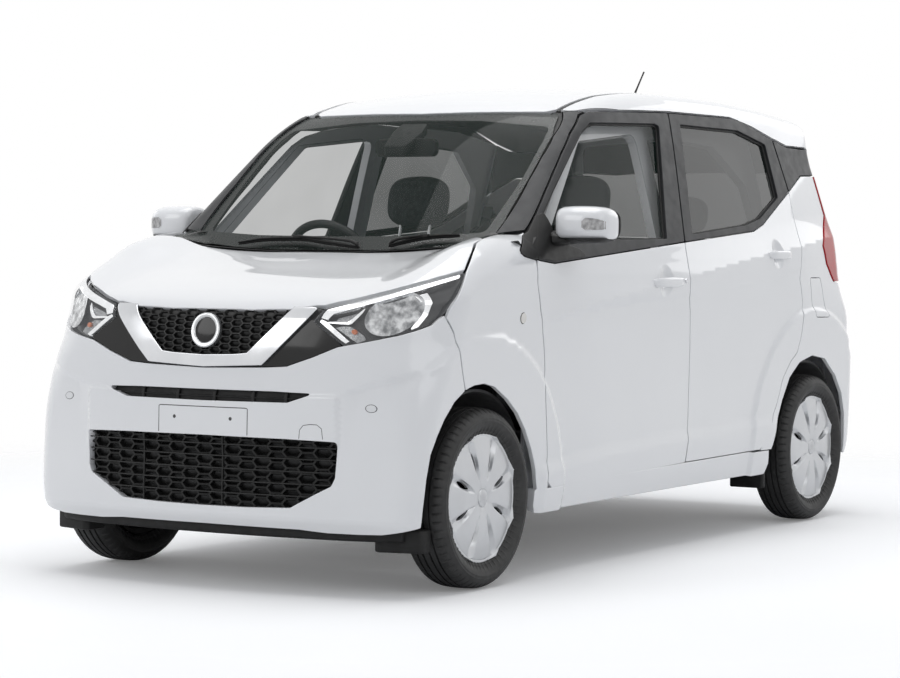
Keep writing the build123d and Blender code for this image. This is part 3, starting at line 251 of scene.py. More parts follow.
class BarrelWay:
    """Outline in x and arc length round a lengthwise axis, laid on from the sides and top."""
    def __init__(self, z0, scale):
        self.z0, self.scale = z0, scale

    def rays(self, ab):
        th = ab[:, 1] / self.scale
        way = np.column_stack([np.zeros(len(ab)), -np.sin(th), -np.cos(th)])
        o = np.column_stack([ab[:, 0], np.zeros(len(ab)), np.full(len(ab), self.z0)])
        return o - way * 1.0, way

    def flat(self, P):
        th = np.arctan2(P[:, 1], P[:, 2] - self.z0)
        return np.column_stack([P[:, 0], th * self.scale])


SIDE, TOP = FlatWay((0, 2), .8), FlatWay((0, 1), 1.7)
FRONT, REAR = FlatWay((1, 2), 1.75), FlatWay((1, 2), -1.75)
NOSE_WAY = RoundWay(1.05, .62)
PILLAR_WAY = RoundWay(.1, .6)
TAIL_WAY = RoundWay(-.95, .72, -1)
SHOULDER_WAY = BarrelWay(.5, .5)
ROOF_WAY = BarrelWay(1.05, .5)


def touch(way, a, b):
    """The place on the skin at one point of a flat outline."""
    return trace(*way.rays(np.array([[a, b]], float)))[0]


EYE = np.array([8.44101712, 4.94876134, 1.08228094])
YAW, PITCH, ROLL = math.radians(-148.91072), math.radians(-2.15594), math.radians(.33534)
FOCAL = 2742.19
AHEAD = np.array([math.cos(PITCH) * math.cos(YAW), math.cos(PITCH) * math.sin(YAW), math.sin(PITCH)])
LEVEL = np.cross(AHEAD, [0, 0, 1]) / math.cos(PITCH)
RIGHT = math.cos(ROLL) * LEVEL + math.sin(ROLL) * np.cross(LEVEL, AHEAD)
UP = -math.sin(ROLL) * LEVEL + math.cos(ROLL) * np.cross(LEVEL, AHEAD)
# corners of the four zoomed parts of the picture, in whole pixels; places in them are in quarter pixels
PIXEL_STEP = 72
QUARTERS = {"nose": (40, 230), "side": (400, 230), "right_top": (480, 40), "left_top": (120, 40)}


def seen(part, *pixels):
    """Places on the skin under quarter pixels of one part of the camera's picture."""
    ox, oy = QUARTERS[part]
    uv = np.array(pixels, float) / 4 + [ox - 450, oy - 339]
    way = AHEAD + (RIGHT * uv[:, :1] - UP * uv[:, 1:]) / FOCAL
    way /= np.linalg.norm(way, axis=1)[:, None]
    return trace(EYE + way * 6, way, 7.0, 60)


def stepped(pixels):
    """The same line with more places on it, so that it stays straight in the picture."""
    out = [pixels[0]]
    for (a, b), (c, d) in zip(pixels, pixels[1:]):
        n = max(1, int(math.hypot(c - a, d - b) / PIXEL_STEP))
        out += [(a + (c - a) * k / n, b + (d - b) * k / n) for k in range(1, n + 1)]
    return out


def on(way, part, *pixels):
    """Those places as an outline for one way of laying panels."""
    return [tuple(p) for p in way.flat(seen(part, *stepped(pixels)))]


def spots(way, *points):
    """Places on the skin, each named by a view and two numbers, as an outline for this way."""
    found = {"s": SIDE, "f": FRONT, "r": REAR, "t": TOP}
    return way.flat(np.array([touch(found[v], a, b) for v, a, b in points])).tolist()


# ---------------------------------------- outlines
def turns(n):
    """Angles of n even steps round a full turn."""
    return np.linspace(0, 2 * math.pi, n, endpoint=False)


def rounded(points, radius=0.0, every=.012):
    """A closed outline with its corners rounded and its edges cut into short steps."""
    P = [np.array(p[:2], float) for p in points]
    R = [p[2] if len(p) > 2 else radius for p in points]
    n = len(P)
    out = []
    for k in range(n):
        a, b, c = P[k - 1], P[k], P[(k + 1) % n]
        u, v = a - b, c - b
        lu, lv = np.linalg.norm(u), np.linalg.norm(v)
        u, v = u / lu, v / lv
        cosine = np.clip(u @ v, -1, 1)
        half = math.acos(cosine) / 2
        r = R[k]
        if r <= 0 or half > math.radians(88):
            out.append(b)
            continue
        cut = min(r / math.tan(half), .47 * lu, .47 * lv)
        s, e = b + u * cut, b + v * cut
        turn = math.pi - 2 * half
        steps = max(3, int(turn / math.radians(12)))
        for i in range(steps + 1):
            t = i / steps
            out.append((1 - t) ** 2 * s + 2 * t * (1 - t) * b + t * t * e)
    dense = []
    for k in range(len(out)):
        a, b = out[k], out[(k + 1) % len(out)]
        cuts = max(1, int(np.linalg.norm(b - a) / every))
        for i in range(cuts):
            dense.append(a + (b - a) * i / cuts)
    dense = np.array(dense)
    keep = np.linalg.norm(dense - np.roll(dense, 1, axis=0), axis=1) > every * .12
    dense = dense[keep]
    if signed_area(dense) < 0:
        dense = dense[::-1]
    return dense


def signed_area(P):
    """Positive for a loop that runs anticlockwise."""
    x, y = P[:, 0], P[:, 1]
    return .5 * np.sum(x * np.roll(y, -1) - np.roll(x, -1) * y)


def within(Q, loop):
    """Which points of Q lie inside a closed loop."""
    inside = np.zeros(len(Q), bool)
    x, y = Q[:, 0], Q[:, 1]
    a, b = loop, np.roll(loop, -1, axis=0)
    for (x0, y0), (x1, y1) in zip(a, b):
        if y0 == y1:
            continue
        crossing = (y0 > y) != (y1 > y)
        inside ^= crossing & (x < (x1 - x0) * (y - y0) / (y1 - y0) + x0)
    return inside


def away(Q, loop):
    """Distance of points from a loop's corners."""
    best = np.full(len(Q), 9.0)
    for k in range(0, len(loop), 64):
        part = loop[k:k + 64]
        d = np.linalg.norm(Q[:, None, :] - part[None, :, :], axis=2).min(axis=1)
        best = np.minimum(best, d)
    return best


def inward(loop, amount):
    """The loop moved to its left side, so inward when it runs anticlockwise."""
    d = np.roll(loop, -1, axis=0) - np.roll(loop, 1, axis=0)
    d /= np.maximum(np.linalg.norm(d, axis=1), 1e-9)[:, None]
    return loop + np.column_stack([-d[:, 1], d[:, 0]]) * amount


# ---------------------------------------- meshes
ROW_RISE = .87
# a panel's folded edge: how far out and in its first ring lies, and how far in its second, as shares
# of the edge
FOLD_OUT, FOLD_IN, FOLD_TURN = .3, .22, .9


def new_object(name, verts, faces, normals=None, material=None, smooth=True):
    """An object from plain vertices and faces, with its own normals where they are given."""
    mesh = bpy.data.meshes.new(name)
    mesh.from_pydata([tuple(map(float, v)) for v in verts], [], [tuple(map(int, f)) for f in faces])
    mesh.validate(verbose=False)
    if smooth:
        mesh.polygons.foreach_set("use_smooth", [True] * len(mesh.polygons))
    if normals is not None and len(normals) == len(mesh.vertices):
        mesh.normals_split_custom_set_from_vertices([tuple(map(float, n)) for n in normals])
    obj = bpy.data.objects.new(name, mesh)
    bpy.context.scene.collection.objects.link(obj)
    if material:
        mesh.materials.append(material)
    return obj


def unit(rows):
    """Rows scaled to length 1."""
    return rows / np.maximum(np.linalg.norm(rows, axis=1), 1e-9)[:, None]


def rows_of_points(low, high, gap):
    """Points in rows, every other row moved by half a gap."""
    xs, ys = np.arange(low[0], high[0], gap), np.arange(low[1], high[1], gap * ROW_RISE)
    return np.vstack([np.column_stack([xs + (gap / 2 if i % 2 else 0), np.full(len(xs), y)])
        for i, y in enumerate(ys)])


def between_loops(Q, loops, edge=None):
    """Which points lie inside loops[0] and outside the others, each first moved inward by edge."""
    moved = [loop if edge is None else inward(loop, -edge if k else edge) for k, loop in enumerate(loops)]
    keep = within(Q, moved[0])
    for loop in moved[1:]:
        keep &= ~within(Q, loop)
    return keep


def field(loops, fixed, every, dense):
    """Grid points that fill a panel, closer together in the dense places, clear of its edges."""
    grid = rows_of_points(loops[0].min(axis=0), loops[0].max(axis=0), every)
    for cx, cy, rx, ry, s in dense:
        gone = (np.abs(grid[:, 0] - cx) < rx + s) & (np.abs(grid[:, 1] - cy) < ry + s)
        grid = np.vstack([grid[~gone], rows_of_points((cx - rx, cy - ry), (cx + rx, cy + ry), s)])
    grid = grid[between_loops(grid, loops)]
    near = every * .5 if not dense else min(every * .5, .5 * min(d[4] for d in dense) + .002)
    return grid[away(grid, fixed) > near]


def filled(loops, every, dense, edge):
    """Flat points and triangles of a panel, and for each edge point its place among them."""
    fixed = np.vstack([inward(loop, -edge if k else edge) for k, loop in enumerate(loops)])
    points = np.vstack([fixed, field(loops, fixed, every, dense)])
    edges, start = [], 0
    for loop in loops:
        n = len(loop)
        edges += [(start + i, start + (i + 1) % n) for i in range(n)]
        start += n
    flat, _, faces, origins, _, _ = delaunay_2d_cdt([Vector((float(a), float(b))) for a, b in points], edges,
        [], 0, 1e-7)
    flat = np.array([tuple(v) for v in flat])
    tri = np.array([f for f in faces if len(f) == 3])
    tri = tri[between_loops(flat[tri].mean(axis=1), loops, edge)]
    back = {}
    for new, olds in enumerate(origins):
        for old in olds:
            back.setdefault(old, new)
    return flat, tri, np.array([back[i] for i in range(start)])


def on_skin(way, flat, inset):
    """Where flat points come to lie, and which way is out there."""
    P = trace(*way.rays(flat))
    N = gradient(P)
    return P - N * inset, N


def lay(loops, way, every=.014, inset=0.0, dense=(), lip=.014, edge=.0022, inner_lip=None):
    """Vertices, faces and normals of a skin panel inside loops[0] and outside the others."""
    flat, tri, rim = filled(loops, every, dense, edge)
    P, N = on_skin(way, flat, inset)
    a, b, c = P[tri[:, 0]], P[tri[:, 1]], P[tri[:, 2]]
    flip = np.einsum("ij,ij->i", np.cross(b - a, c - a), N[tri[:, 0]]) < 0
    tri[flip] = tri[flip][:, ::-1]
    verts, norms, faces = [P], [N], [tri]
    count, start = len(P), 0
    for k, loop in enumerate(loops):
        n = len(loop)
        prev, start = rim[start:start + n], start + n
        Q, QN = on_skin(way, loop, inset)
        S = unit(np.cross(unit(np.roll(Q, -1, axis=0) - np.roll(Q, 1, axis=0)), QN))
        if np.sum(np.einsum("ij,ij->i", S, Q - P[prev])) < 0:
            S = -S
        depth = lip if k == 0 or inner_lip is None else inner_lip
        mix = QN + S
        mix /= np.linalg.norm(mix, axis=1)[:, None]
        corner = P[prev[:2]]
        for pos, nor in ((Q - S * edge * FOLD_OUT - QN * edge * FOLD_IN, mix), (Q - QN * edge * FOLD_TURN, S),
                (Q - QN * depth, S)):
            ids = np.arange(count, count + n)
            verts.append(pos)
            norms.append(nor)
            count += n
            quads = np.column_stack([prev, np.roll(prev, -1), np.roll(ids, -1), ids])
            if np.dot(np.cross(corner[1] - corner[0], pos[0] - corner[0]), nor[0]) < 0:
                quads = quads[:, ::-1]
            faces.append(quads)
            prev, corner = ids, pos[:2]
    return np.vstack(verts), [tuple(f) for part in faces for f in part], np.vstack(norms)


def mirrored(V, F, N):
    """The mesh on the other side of the car."""
    flip = np.array([1.0, -1.0, 1.0])
    return V * flip, [tuple(reversed(f)) for f in F], N * flip


def dress(obj, body_name, replaces):
    """Has an object ride on a body, and hides the CAD nodes it stands for."""
    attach(obj, body_name)
    if replaces:
        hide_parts(*replaces)
    return obj


def put(name, mesh, material, body_name, replaces=()):
    """An object from vertices, faces and normals, dressed."""
    return dress(new_object(name, *mesh, material), body_name, replaces)


# ---------------------------------------- materials
def add(tree, kind, **sockets):
    """A shader node with plain values on its own sockets."""
    return preset(tree.nodes.new("ShaderNode" + kind), **sockets)


def preset(node, **sockets):
    """Sets plain values on a node; in a name, _ stands for a space."""
    for socket, value in sockets.items():
        node.inputs[socket.replace("_", " ")].default_value = value
    return node


def material(name, color, rough, metal, coat, coat_rough=.03, spec=.5):
    """A material, its tree and its shader."""
    mat = bpy.data.materials.new(name)
    mat.use_nodes = True
    b = preset(mat.node_tree.nodes["Principled BSDF"], Base_Color=(*color, 1), Roughness=rough,
        Metallic=metal, Coat_Weight=coat, Coat_Roughness=coat_rough, IOR=1.5, Specular_IOR_Level=spec)
    return mat, mat.node_tree, b


def noise(tree, scale, detail):
    """Noise in the object's own space."""
    node = add(tree, "TexNoise", Scale=scale, Detail=detail)
    tree.links.new(add(tree, "TexCoord").outputs["Object"], node.inputs["Vector"])
    return node.outputs["Fac"]


def ramp(tree, fac, stops):
    """A colour that follows a value through its stops."""
    node = add(tree, "ValToRGB")
    el = node.color_ramp.elements
    while len(el) < len(stops):
        el.new(.5)
    for e, (at, col) in zip(el, stops):
        e.position = at
        e.color = (*col, 1) if len(col) == 3 else col
    tree.links.new(fac, node.inputs["Fac"])
    return node.outputs["Color"]


def bump(tree, b, height, strength, distance, socket="Normal"):
    """Adds a bump over what the shader's normal already has."""
    node = add(tree, "Bump", Strength=strength, Distance=distance)
    tree.links.new(height, node.inputs["Height"])
    if b.inputs[socket].is_linked:
        tree.links.new(b.inputs[socket].links[0].from_socket, node.inputs["Normal"])
    tree.links.new(node.outputs["Normal"], b.inputs[socket])


def grey(v):
    return (v, v, v)


def mottled(name, low, high, rough, scale, coat=0.0, metal=0.0, grain=None, rough_span=.06, **more):
    """A finish whose colour and roughness drift a little, with an optional fine grain."""
    low, high = (grey(v) if isinstance(v, float) else v for v in (low, high))
    mid = tuple((a + b) / 2 for a, b in zip(low, high))
    mat, tree, b = material(name, mid, rough, metal, coat, **more)
    field = noise(tree, scale, 4)
    tree.links.new(ramp(tree, field, [(.35, low), (.65, high)]), b.inputs["Base Color"])
    r = ramp(tree, noise(tree, scale * 2.3, 3), [(.3, grey(rough - rough_span)),
        (.7, grey(rough + rough_span))])
    tree.links.new(r, b.inputs["Roughness"])
    if grain:
        g_scale, strength, distance = grain
        bump(tree, b, noise(tree, g_scale, 2), strength, distance)
    return mat


def car_paint():
    """White paint under clear coat, with a faint orange peel."""
    mat, tree, b = material("white_paint", (.8, .81, .825), .32, 0, 1.0, .02)
    flow = noise(tree, 2.2, 2)
    tree.links.new(ramp(tree, flow, [(.3, (.79, .8, .815)), (.7, (.81, .82, .832))]), b.inputs["Base Color"])
    tree.links.new(ramp(tree, noise(tree, 30, 3), [(.3, grey(.29)), (.7, grey(.36))]), b.inputs["Roughness"])
    peel = noise(tree, 260, 1.5)
    bump(tree, b, peel, .012, .0006, "Coat Normal")
    return mat


def glass(name, tint, clear):
    """Thin tinted glass: mirror-like at a slant, and see-through with its tint head on."""
    mat = bpy.data.materials.new(name)
    mat.use_nodes = True
    tree = mat.node_tree
    tree.nodes.clear()
    out = add(tree, "OutputMaterial")
    b = add(tree, "BsdfPrincipled", Base_Color=(*tint, 1), Roughness=0.0, IOR=1.5, Specular_IOR_Level=.26)
    tree.links.new(ramp(tree, noise(tree, 3.0, 2), [(.3, grey(clear - .02)), (.7, grey(clear + .02))]),
        b.inputs["Alpha"])
    tree.links.new(b.outputs["BSDF"], out.inputs["Surface"])
    bump(tree, b, noise(tree, 1.3, 1), .02, .002)
    return mat


PAINT = car_paint()
BLACK_TRIM = mottled("satin_black_trim", .008, .013, .46, 18, grain=(900, .1, .0003), spec=.28)
PILLAR = mottled("pillar_film", (.017, .018, .02), (.025, .026, .028), .44, 12, grain=(1300, .06, .0002),
    spec=.3)
GLOSS = mottled("gloss_black_plastic", .003, .006, .12, 9, coat=.15, rough_span=.03, spec=.3)
MOULDED = mottled("moulded_black", .008, .014, .55, 22, grain=(700, .25, .0004), spec=.25)
RUBBER_SEAL = mottled("seal_rubber", .01, .016, .62, 60, grain=(1500, .2, .0002))
CHROME = mottled("bright_chrome", (.58, .59, .61), (.66, .67, .69), .15, 6, metal=1.0, rough_span=.04)
UNDERSIDE = mottled("underseal", (.035, .035, .036), (.075, .075, .077), .75, 14, grain=(160, .5, .001))


# ---------------------------------------- panels of the body
def panel(name, way, outline, mat, bodies, slot, holes=(), radius=.012, gap=.002, nodes=(), **how):
    """One skin panel, or a left and right pair where two bodies or names are given."""
    mesh = lay([inward(rounded(outline, radius), gap), *holes], way, **how)
    if isinstance(bodies, str):
        put(name, mesh, mat, bodies, nodes)
        return
    for side, body_name, m in (("left", bodies[0], mesh), ("right", bodies[1], mirrored(*mesh))):
        own = [n if n in PAIRED else f"{n}_{side}" for n in nodes]
        put(f"{name}_{side}", m, mat, body_name, own)


PAIRED = {"front_fenders", "rear_quarters", "a_pillars", "side_frames", "headlamps", "tail_lamps"}
BOTH = ("body", "body")
FRONT_DOORS = ("front_door_left", "front_door_right")
REAR_DOORS = ("rear_door_left", "rear_door_right")


def across(half):
    """A closed outline from its left half, which runs from one end of the middle line to the other."""
    return list(half) + [(-a, b) for a, b in reversed(half) if abs(a) > 1e-6]


def behind(way, *points):
    """A whole outline at the back, from places on its half whose ends lie on the middle line."""
    half = [(abs(a), b) for a, b in spots(way, *points)]
    return across([(0.0, half[0][1])] + half[1:-1] + [(0.0, half[-1][1])])


def across_y(half):
    """The same for outlines seen from above, as x and y."""
    return list(half) + [(x, -y) for x, y in reversed(half) if abs(y) > 1e-6]


# seams that two panels share, from the camera's picture
DOOR_FRONT = [(548, 125), (552, 215), (570, 360), (578, 480), (583, 640), (590, 900), (592, 1010)]
DOOR_FOOT = [(607, 1033), (1140, 932)]
DOOR_MIDDLE = [(1143, 930), (1151, 780), (1155, 640), (1160, 480), (1162, 330), (1160, 180), (1150, 50)]
REAR_FOOT = [(1440, 880)]
REAR_EDGE = [(1470, 845), (1492, 760), (1510, 690), (1532, 595), (1562, 530), (1590, 490), (1607, 420),
    (1612, 290), (1600, 200), (1607, 130), (1605, 60), (1585, -10)]
BELT = [(300, 893), (820, 808)]
BELT_REAR = [(820, 808), (1095, 765), (1133, 738), (1235, 608)]
FENDER_ARCH = [(541, 1040), (541, 960), (525, 880), (500, 800), (470, 735), (430, 680), (380, 632),
    (340, 619), (300, 626), (262, 645)]
NOSE_ARCH = [(1700, 640), (1660, 690), (1620, 760), (1590, 830), (1565, 900), (1548, 1000), (1535, 1110),
    (1525, 1195)]
NOSE_SEAM = [(262, 645), (250, 560), (235, 470), (215, 410), (180, 345)]
LAMP_SIDE = [(180, 345), (215, 290), (262, 165)]

front_door = (
    on(SIDE, "side", *DOOR_FRONT, *DOOR_FOOT) + on(SIDE, "side", *DOOR_MIDDLE[1:-1])
    + on(SIDE, "right_top", BELT[1], BELT[0], (228, 879))
)
panel("front_door_skin", SIDE, front_door, PAINT, FRONT_DOORS, "body_white", radius=.008,
    dense=[(.018, .932, .058, .062, .005)])
rear_door = (
    on(SIDE, "side", *reversed(DOOR_MIDDLE[1:-1])) + on(SIDE, "side", (1143, 930), *REAR_FOOT)
    + on(SIDE, "side", *REAR_EDGE) + on(SIDE, "right_top", *reversed(BELT_REAR))
)
panel("rear_door_skin", SIDE, rear_door, PAINT, REAR_DOORS, "body_white", radius=.01,
    dense=[(-.917, 1.02, .058, .062, .005)])

way = SHOULDER_WAY
fender = (
    on(way, "side", *DOOR_FRONT) + on(way, "side", (592, 1042), (545, 1050), *FENDER_ARCH[1:])
    + on(way, "side", *NOSE_SEAM[1:-1]) + on(way, "side", *LAMP_SIDE) + on(way, "side", (290, 85), (300, 52))
    + on(way, "right_top", (0, 795), (65, 778), (185, 765), (172, 800), (160, 850), (175, 862), (222, 876))
)
panel("fender_skin", way, fender, PAINT, BOTH, "body_white", radius=.004, nodes=("front_fenders",))

# the nose
lamp_shape = [(1140, 310), (1400, 245), (1702, 166), (1682, 220), (1655, 282), (1616, 338), (1566, 380),
    (1500, 403), (1440, 420), (1330, 442), (1215, 465), (1150, 415), (1090, 365)]
way = NOSE_WAY
lamp = on(way, "nose", *lamp_shape)
black_low = [(663, 548), (900, 548), (985, 545), (1090, 508), (1190, 467)]
low_edge = on(way, "nose", *black_low)
low_edge[0] = (0.0, low_edge[0][1])
slot_half = spots(way, ("f", 0, .612), ("f", .25, .612), ("f", .384, .609), ("f", .345, .594),
    ("f", .302, .58), ("f", .15, .579), ("f", 0, .578))
slot_hole = across(slot_half)
grille_half = spots(way, ("f", 0, .473), ("f", .3, .471), ("f", .47, .467), ("f", .462, .36),
    ("f", .45, .335), ("f", .315, .265), ("f", .16, .26), ("f", 0, .259))
lower_hole = across(grille_half)
arch = on(way, "nose", *NOSE_ARCH)
seam = on(way, "side", *NOSE_SEAM)
bottom = spots(way, ("s", 1.53, .196), ("f", .6, .192), ("f", .53, .19), ("f", .424, .19),
    ("f", .33, .197), ("f", 0, .199))
lamp_foot = on(way, "nose", (1614, 338), (1566, 380), (1500, 403), (1440, 420), (1330, 442), (1215, 466))
bumper_half = (
    [(0.0, bottom[-1][1])] + bottom[-2:0:-1] + list(reversed(arch[1:])) +
    list(seam) + lamp_foot[:-1] + on(way, "nose", *reversed(black_low[1:])) + [low_edge[0]]
)
bumper = across(bumper_half)
slot_loop = rounded(slot_hole, .012, .008)
lower_loop = rounded(lower_hole, .014, .01)
panel("front_bumper_skin", NOSE_WAY, bumper, PAINT, "body", "body_white", radius=.006, gap=.0015,
      holes=(slot_loop, lower_loop), every=.011, inner_lip=.022, nodes=("front_bumper",))

# the bonnet
hood_front = seen("nose", *stepped([(1110, 303), (1140, 303), (1400, 240), (1700, 163)]))
hood_side = seen("side", (262, 163), (290, 85), (300, 52))
half = [(1.648, 0.0), (1.6455, .15), (1.633, .29)] + [tuple(p) for p in hood_front[:, :2]]
half += [tuple(p) for p in hood_side[1:, :2]] + [(1.1, .64), (1.0455, .56), (1.042, .42), (1.0665, .2),
    (1.0745, 0.0)]
panel("hood_skin", TOP, across_y(half), PAINT, "hood", "body_white", radius=.02, gap=.002, every=.015,
    lip=.016, nodes=("hood",))

# the roof, with the side rails outside its two ditches
way = ROOF_WAY
MESH_TOP = [(.43, 0.0), (.424, .11), (.41, .25), (.395, .36), (.376, .455)]
ditch_in = [(.35, .482), (.25, .482), (.1, .48), (-.3, .48), (-.8, .478), (-1.2, .472), (-1.372, .468)]
half = spots(way, *[("t", x, y) for x, y in MESH_TOP + ditch_in]) + [(-1.388, .2), (-1.392, 0.0)]
panel("roof_skin", way, across_y(half), PAINT, "body", "body_white", radius=.01, gap=.001, every=.018,
      nodes=("roof_panel",))
door_top = way.flat(seen("right_top", (345, 284), (392, 284), (560, 284), (750, 290), (1000, 313),
    (1090, 352), (1170, 398), (1225, 427), (1284, 437))).tolist()
ditch_out = spots(way, *[("t", x, y + .014) for x, y in reversed(ditch_in)])
tail_top = spots(way, ("s", -1.43, 1.428), ("t", -1.545, .545), ("t", -1.575, .52), ("t", -1.57, .512))
rail_half = door_top[:-1] + tail_top + spots(way, ("t", -1.4, .5)) + ditch_out
panel("roof_rail", way, rail_half, PAINT, BOTH, "body_white", radius=.006, gap=.0012, every=.015)
strip = spots(way, *[("t", x, y - .002) for x, y in ditch_in])
strip += spots(way, *[("t", x, y + .016) for x, y in reversed(ditch_in)])
panel("roof_ditch", way, strip, RUBBER_SEAL, BOTH, "black_plastic", radius=.001, gap=0, every=.012,
    inset=.005)

# the quarters
way = TAIL_WAY
REAR_ARCH = [(1515, 740), (1530, 680), (1560, 590), (1600, 530), (1650, 503), (1700, 515), (1740, 580),
    (1765, 650), (1775, 730)]
lamp_front = on(way, "right_top", (1330, 545), (1375, 700), (1370, 820), (1385, 895), (1414, 966))
gate_edge = spots(way, ("r", .601, .7), ("r", .601, .88), ("r", .54, .903), ("r", .533, 1.05),
    ("r", .526, 1.328))
door_rear = on(way, "side", *REAR_EDGE[1:])
quarter = (
    on(way, "side", (1440, 884), (1487, 878)) + on(way, "side", *REAR_ARCH) +
    spots(way, ("s", -1.578, .3), ("s", -1.585, .235), ("r", .6, .245), ("r", .575, .64)) + gate_edge[:2] +
    spots(way, ("r", .575, .897)) + [lamp_front[-1]] + lamp_front[::-1][1:] +
    on(way, "right_top", (1283, 545), (1235, 610)) + door_rear[::-1]
)
LID = spots(way, ("s", -1.219, .931), ("s", -1.338, .93), ("s", -1.403, .775), ("s", -1.27, .778))
lid_loop = rounded(LID, .016, .008)
quarter_loop = inward(rounded(quarter, .006), .0012)
put("quarter_skin_left", lay([quarter_loop, lid_loop], way, every=.014), PAINT, "body",
    ("rear_quarters",))
put("quarter_skin_right", mirrored(*lay([quarter_loop], way, every=.014)), PAINT, "body", ())
put("fuel_lid_skin", lay([inward(lid_loop, .0024)], way, every=.014, lip=.008), PAINT, "fuel_lid",
    ("fuel_lid",))

# black window surrounds
way = SIDE
front_frame = (on(way, "right_top", (228, 879), (300, 893), (819, 808))
    + on(way, "right_top", (751, 291), (430, 284), (395, 300), (360, 372), (222, 695), (226, 790)))
front_hole = rounded(on(way, "right_top", (254, 808), (246, 700), (290, 600), (408, 362), (440, 330),
    (700, 335), (716, 345), (748, 795)), .01, .01)
panel("front_window_frame", way, front_frame, PILLAR, FRONT_DOORS, "pillar_dark", radius=.012, gap=.0015,
      holes=(front_hole,), inner_lip=.02, nodes=("front_door",))
rear_frame = (on(way, "right_top", (821, 808), (1095, 765), (1133, 738), (1234, 608), (1168, 400),
    (1090, 352), (1040, 323), (1000, 313), (753, 292)))
rear_hole = rounded(on(way, "right_top", (850, 778), (1060, 742), (1120, 715), (1192, 630), (1140, 418),
    (1030, 362), (800, 338)), .012, .01)
panel("rear_window_frame", way, rear_frame, PILLAR, REAR_DOORS, "pillar_dark", radius=.01, gap=.0015,
      holes=(rear_hole,), inner_lip=.02, nodes=("rear_door",))
panel("rear_pillar_patch", TAIL_WAY, on(TAIL_WAY, "right_top", (1171, 400), (1225, 429), (1284, 438))
    + spots(TAIL_WAY, ("r", .535, 1.435), ("r", .542, 1.325)) + on(TAIL_WAY, "right_top", (1327, 543),
    (1281, 543), (1237, 607)), PILLAR, BOTH, "pillar_dark", radius=.003, gap=.001, every=.012, inset=.001)

# front pillars
way = PILLAR_WAY
pillar = on(way, "right_top", (62, 778), (186, 762), (222, 695), (360, 372), (395, 300), (428, 286),
    (345, 283), (322, 286), (290, 380), (190, 560))
panel("front_pillar", way, pillar, PILLAR, BOTH, "pillar_dark", radius=.004, gap=.001, every=.01,
    nodes=("a_pillars",))

# tailgate, rear bumper, tail lamps
way = TAIL_WAY
gate = behind(way, ("r", 0, .64), ("r", .563, .64), ("r", .59, .7), ("r", .59, .88), ("r", .53, .903),
    ("r", .523, 1.05), ("r", .514, 1.33), ("r", .508, 1.44), ("r", .504, 1.5), ("r", .498, 1.548),
    ("r", 0, 1.548))
window = behind(way, ("r", 0, 1.075), ("r", .478, 1.085), ("r", .44, 1.455), ("r", 0, 1.475))
window_loop = rounded(window, .035, .012)
panel("tailgate_skin", way, gate, PAINT, "tailgate", "body_white", radius=.006, gap=.002,
    holes=(window_loop,), inner_lip=.01, nodes=("tailgate",))
lid = spots(TOP, ("t", -1.396, 0), ("t", -1.396, .3), ("t", -1.396, .497), ("t", -1.5, .499),
    ("t", -1.578, .498), ("t", -1.59, .3), ("t", -1.594, 0))
panel("tailgate_top", TOP, across_y(lid), PAINT, "tailgate", "body_white", radius=.006, gap=.002)
bumper_back = behind(way, ("r", 0, .632), ("r", .566, .632), ("r", .6, .626), ("s", -1.585, .6),
    ("s", -1.585, .235), ("r", .6, .238), ("r", .4, .225), ("r", 0, .225))
panel("rear_bumper_skin", way, bumper_back, PAINT, "body", "body_white", radius=.006, gap=.002,
    nodes=("rear_bumper",))
lamp_back = spots(way, ("r", .556, .908), ("r", .541, .92), ("r", .534, 1.05), ("r", .53, 1.2),
    ("r", .527, 1.322))
tail_lamp = on(way, "right_top", (1414, 966), (1385, 895), (1370, 820), (1375, 700),
    (1330, 545)) + lamp_back[::-1]
LAMP_RED = mottled("tail_lens", (.4, .004, .008), (.47, .006, .01), .16, 9, coat=.25, spec=.3)
panel("tail_lens", way, tail_lamp, LAMP_RED, BOTH, "lamp_red", radius=.004, gap=.0015, inset=-.004,
    every=.01, nodes=("tail_lamps",))

# sills
way = SHOULDER_WAY
sill = spots(way, ("s", .9, .286), ("s", -.8, .296), ("s", -.862, .296), ("s", -.868, .24),
    ("s", -.845, .204), ("s", .885, .204), ("s", .897, .23))
panel("sill_skin", way, sill, PAINT, BOTH, "body_white", radius=.004, gap=.001, lip=.03,
    nodes=("side_frames",))
# the frame that the doors close on
door_frame = [(.88, .215), (.88, 1.00), (.825, 1.06), (.36, 1.462), (-.1, 1.512), (-.7, 1.505),
    (-1.02, 1.46), (-1.02, 1.08), (-.985, .92), (-.92, .72), (-.85, .6), (-.835, .215)]
front_opening = rounded([(.795, .335), (.795, .985), (.735, 1.06), (.345, 1.415), (-.078, 1.455),
    (-.078, .335)], .04, .02)
rear_opening = rounded([(-.168, .335), (-.168, 1.455), (-.7, 1.43), (-.905, 1.29), (-.935, 1.05),
    (-.865, .8), (-.745, .56), (-.71, .335)], .04, .02)
panel("door_frame", SIDE, door_frame, PAINT, BOTH, "body_white", radius=.02, gap=0, every=.022, inset=.06,
    lip=.012, inner_lip=.03, holes=(front_opening, rear_opening))
filler = spots(TAIL_WAY, ("r", .48, 1.535), ("r", .548, 1.5), ("r", .572, 1.33), ("r", .49, 1.33))
panel("rail_lining", ROOF_WAY, rail_half, UNDERSIDE, BOTH, "black_plastic", radius=.004, gap=0, every=.03,
    inset=.02, lip=.03)
panel("pillar_backing", PILLAR_WAY, inward(rounded(pillar, .004), -.016).tolist(), RUBBER_SEAL, BOTH,
    "black_plastic", radius=0, gap=0, every=.014, inset=.01, lip=.012)
sail_foot = on(SIDE, "right_top", (190, 768), (222, 700), (231, 700), (229, 880), (175, 864), (158, 850),
    (170, 800))
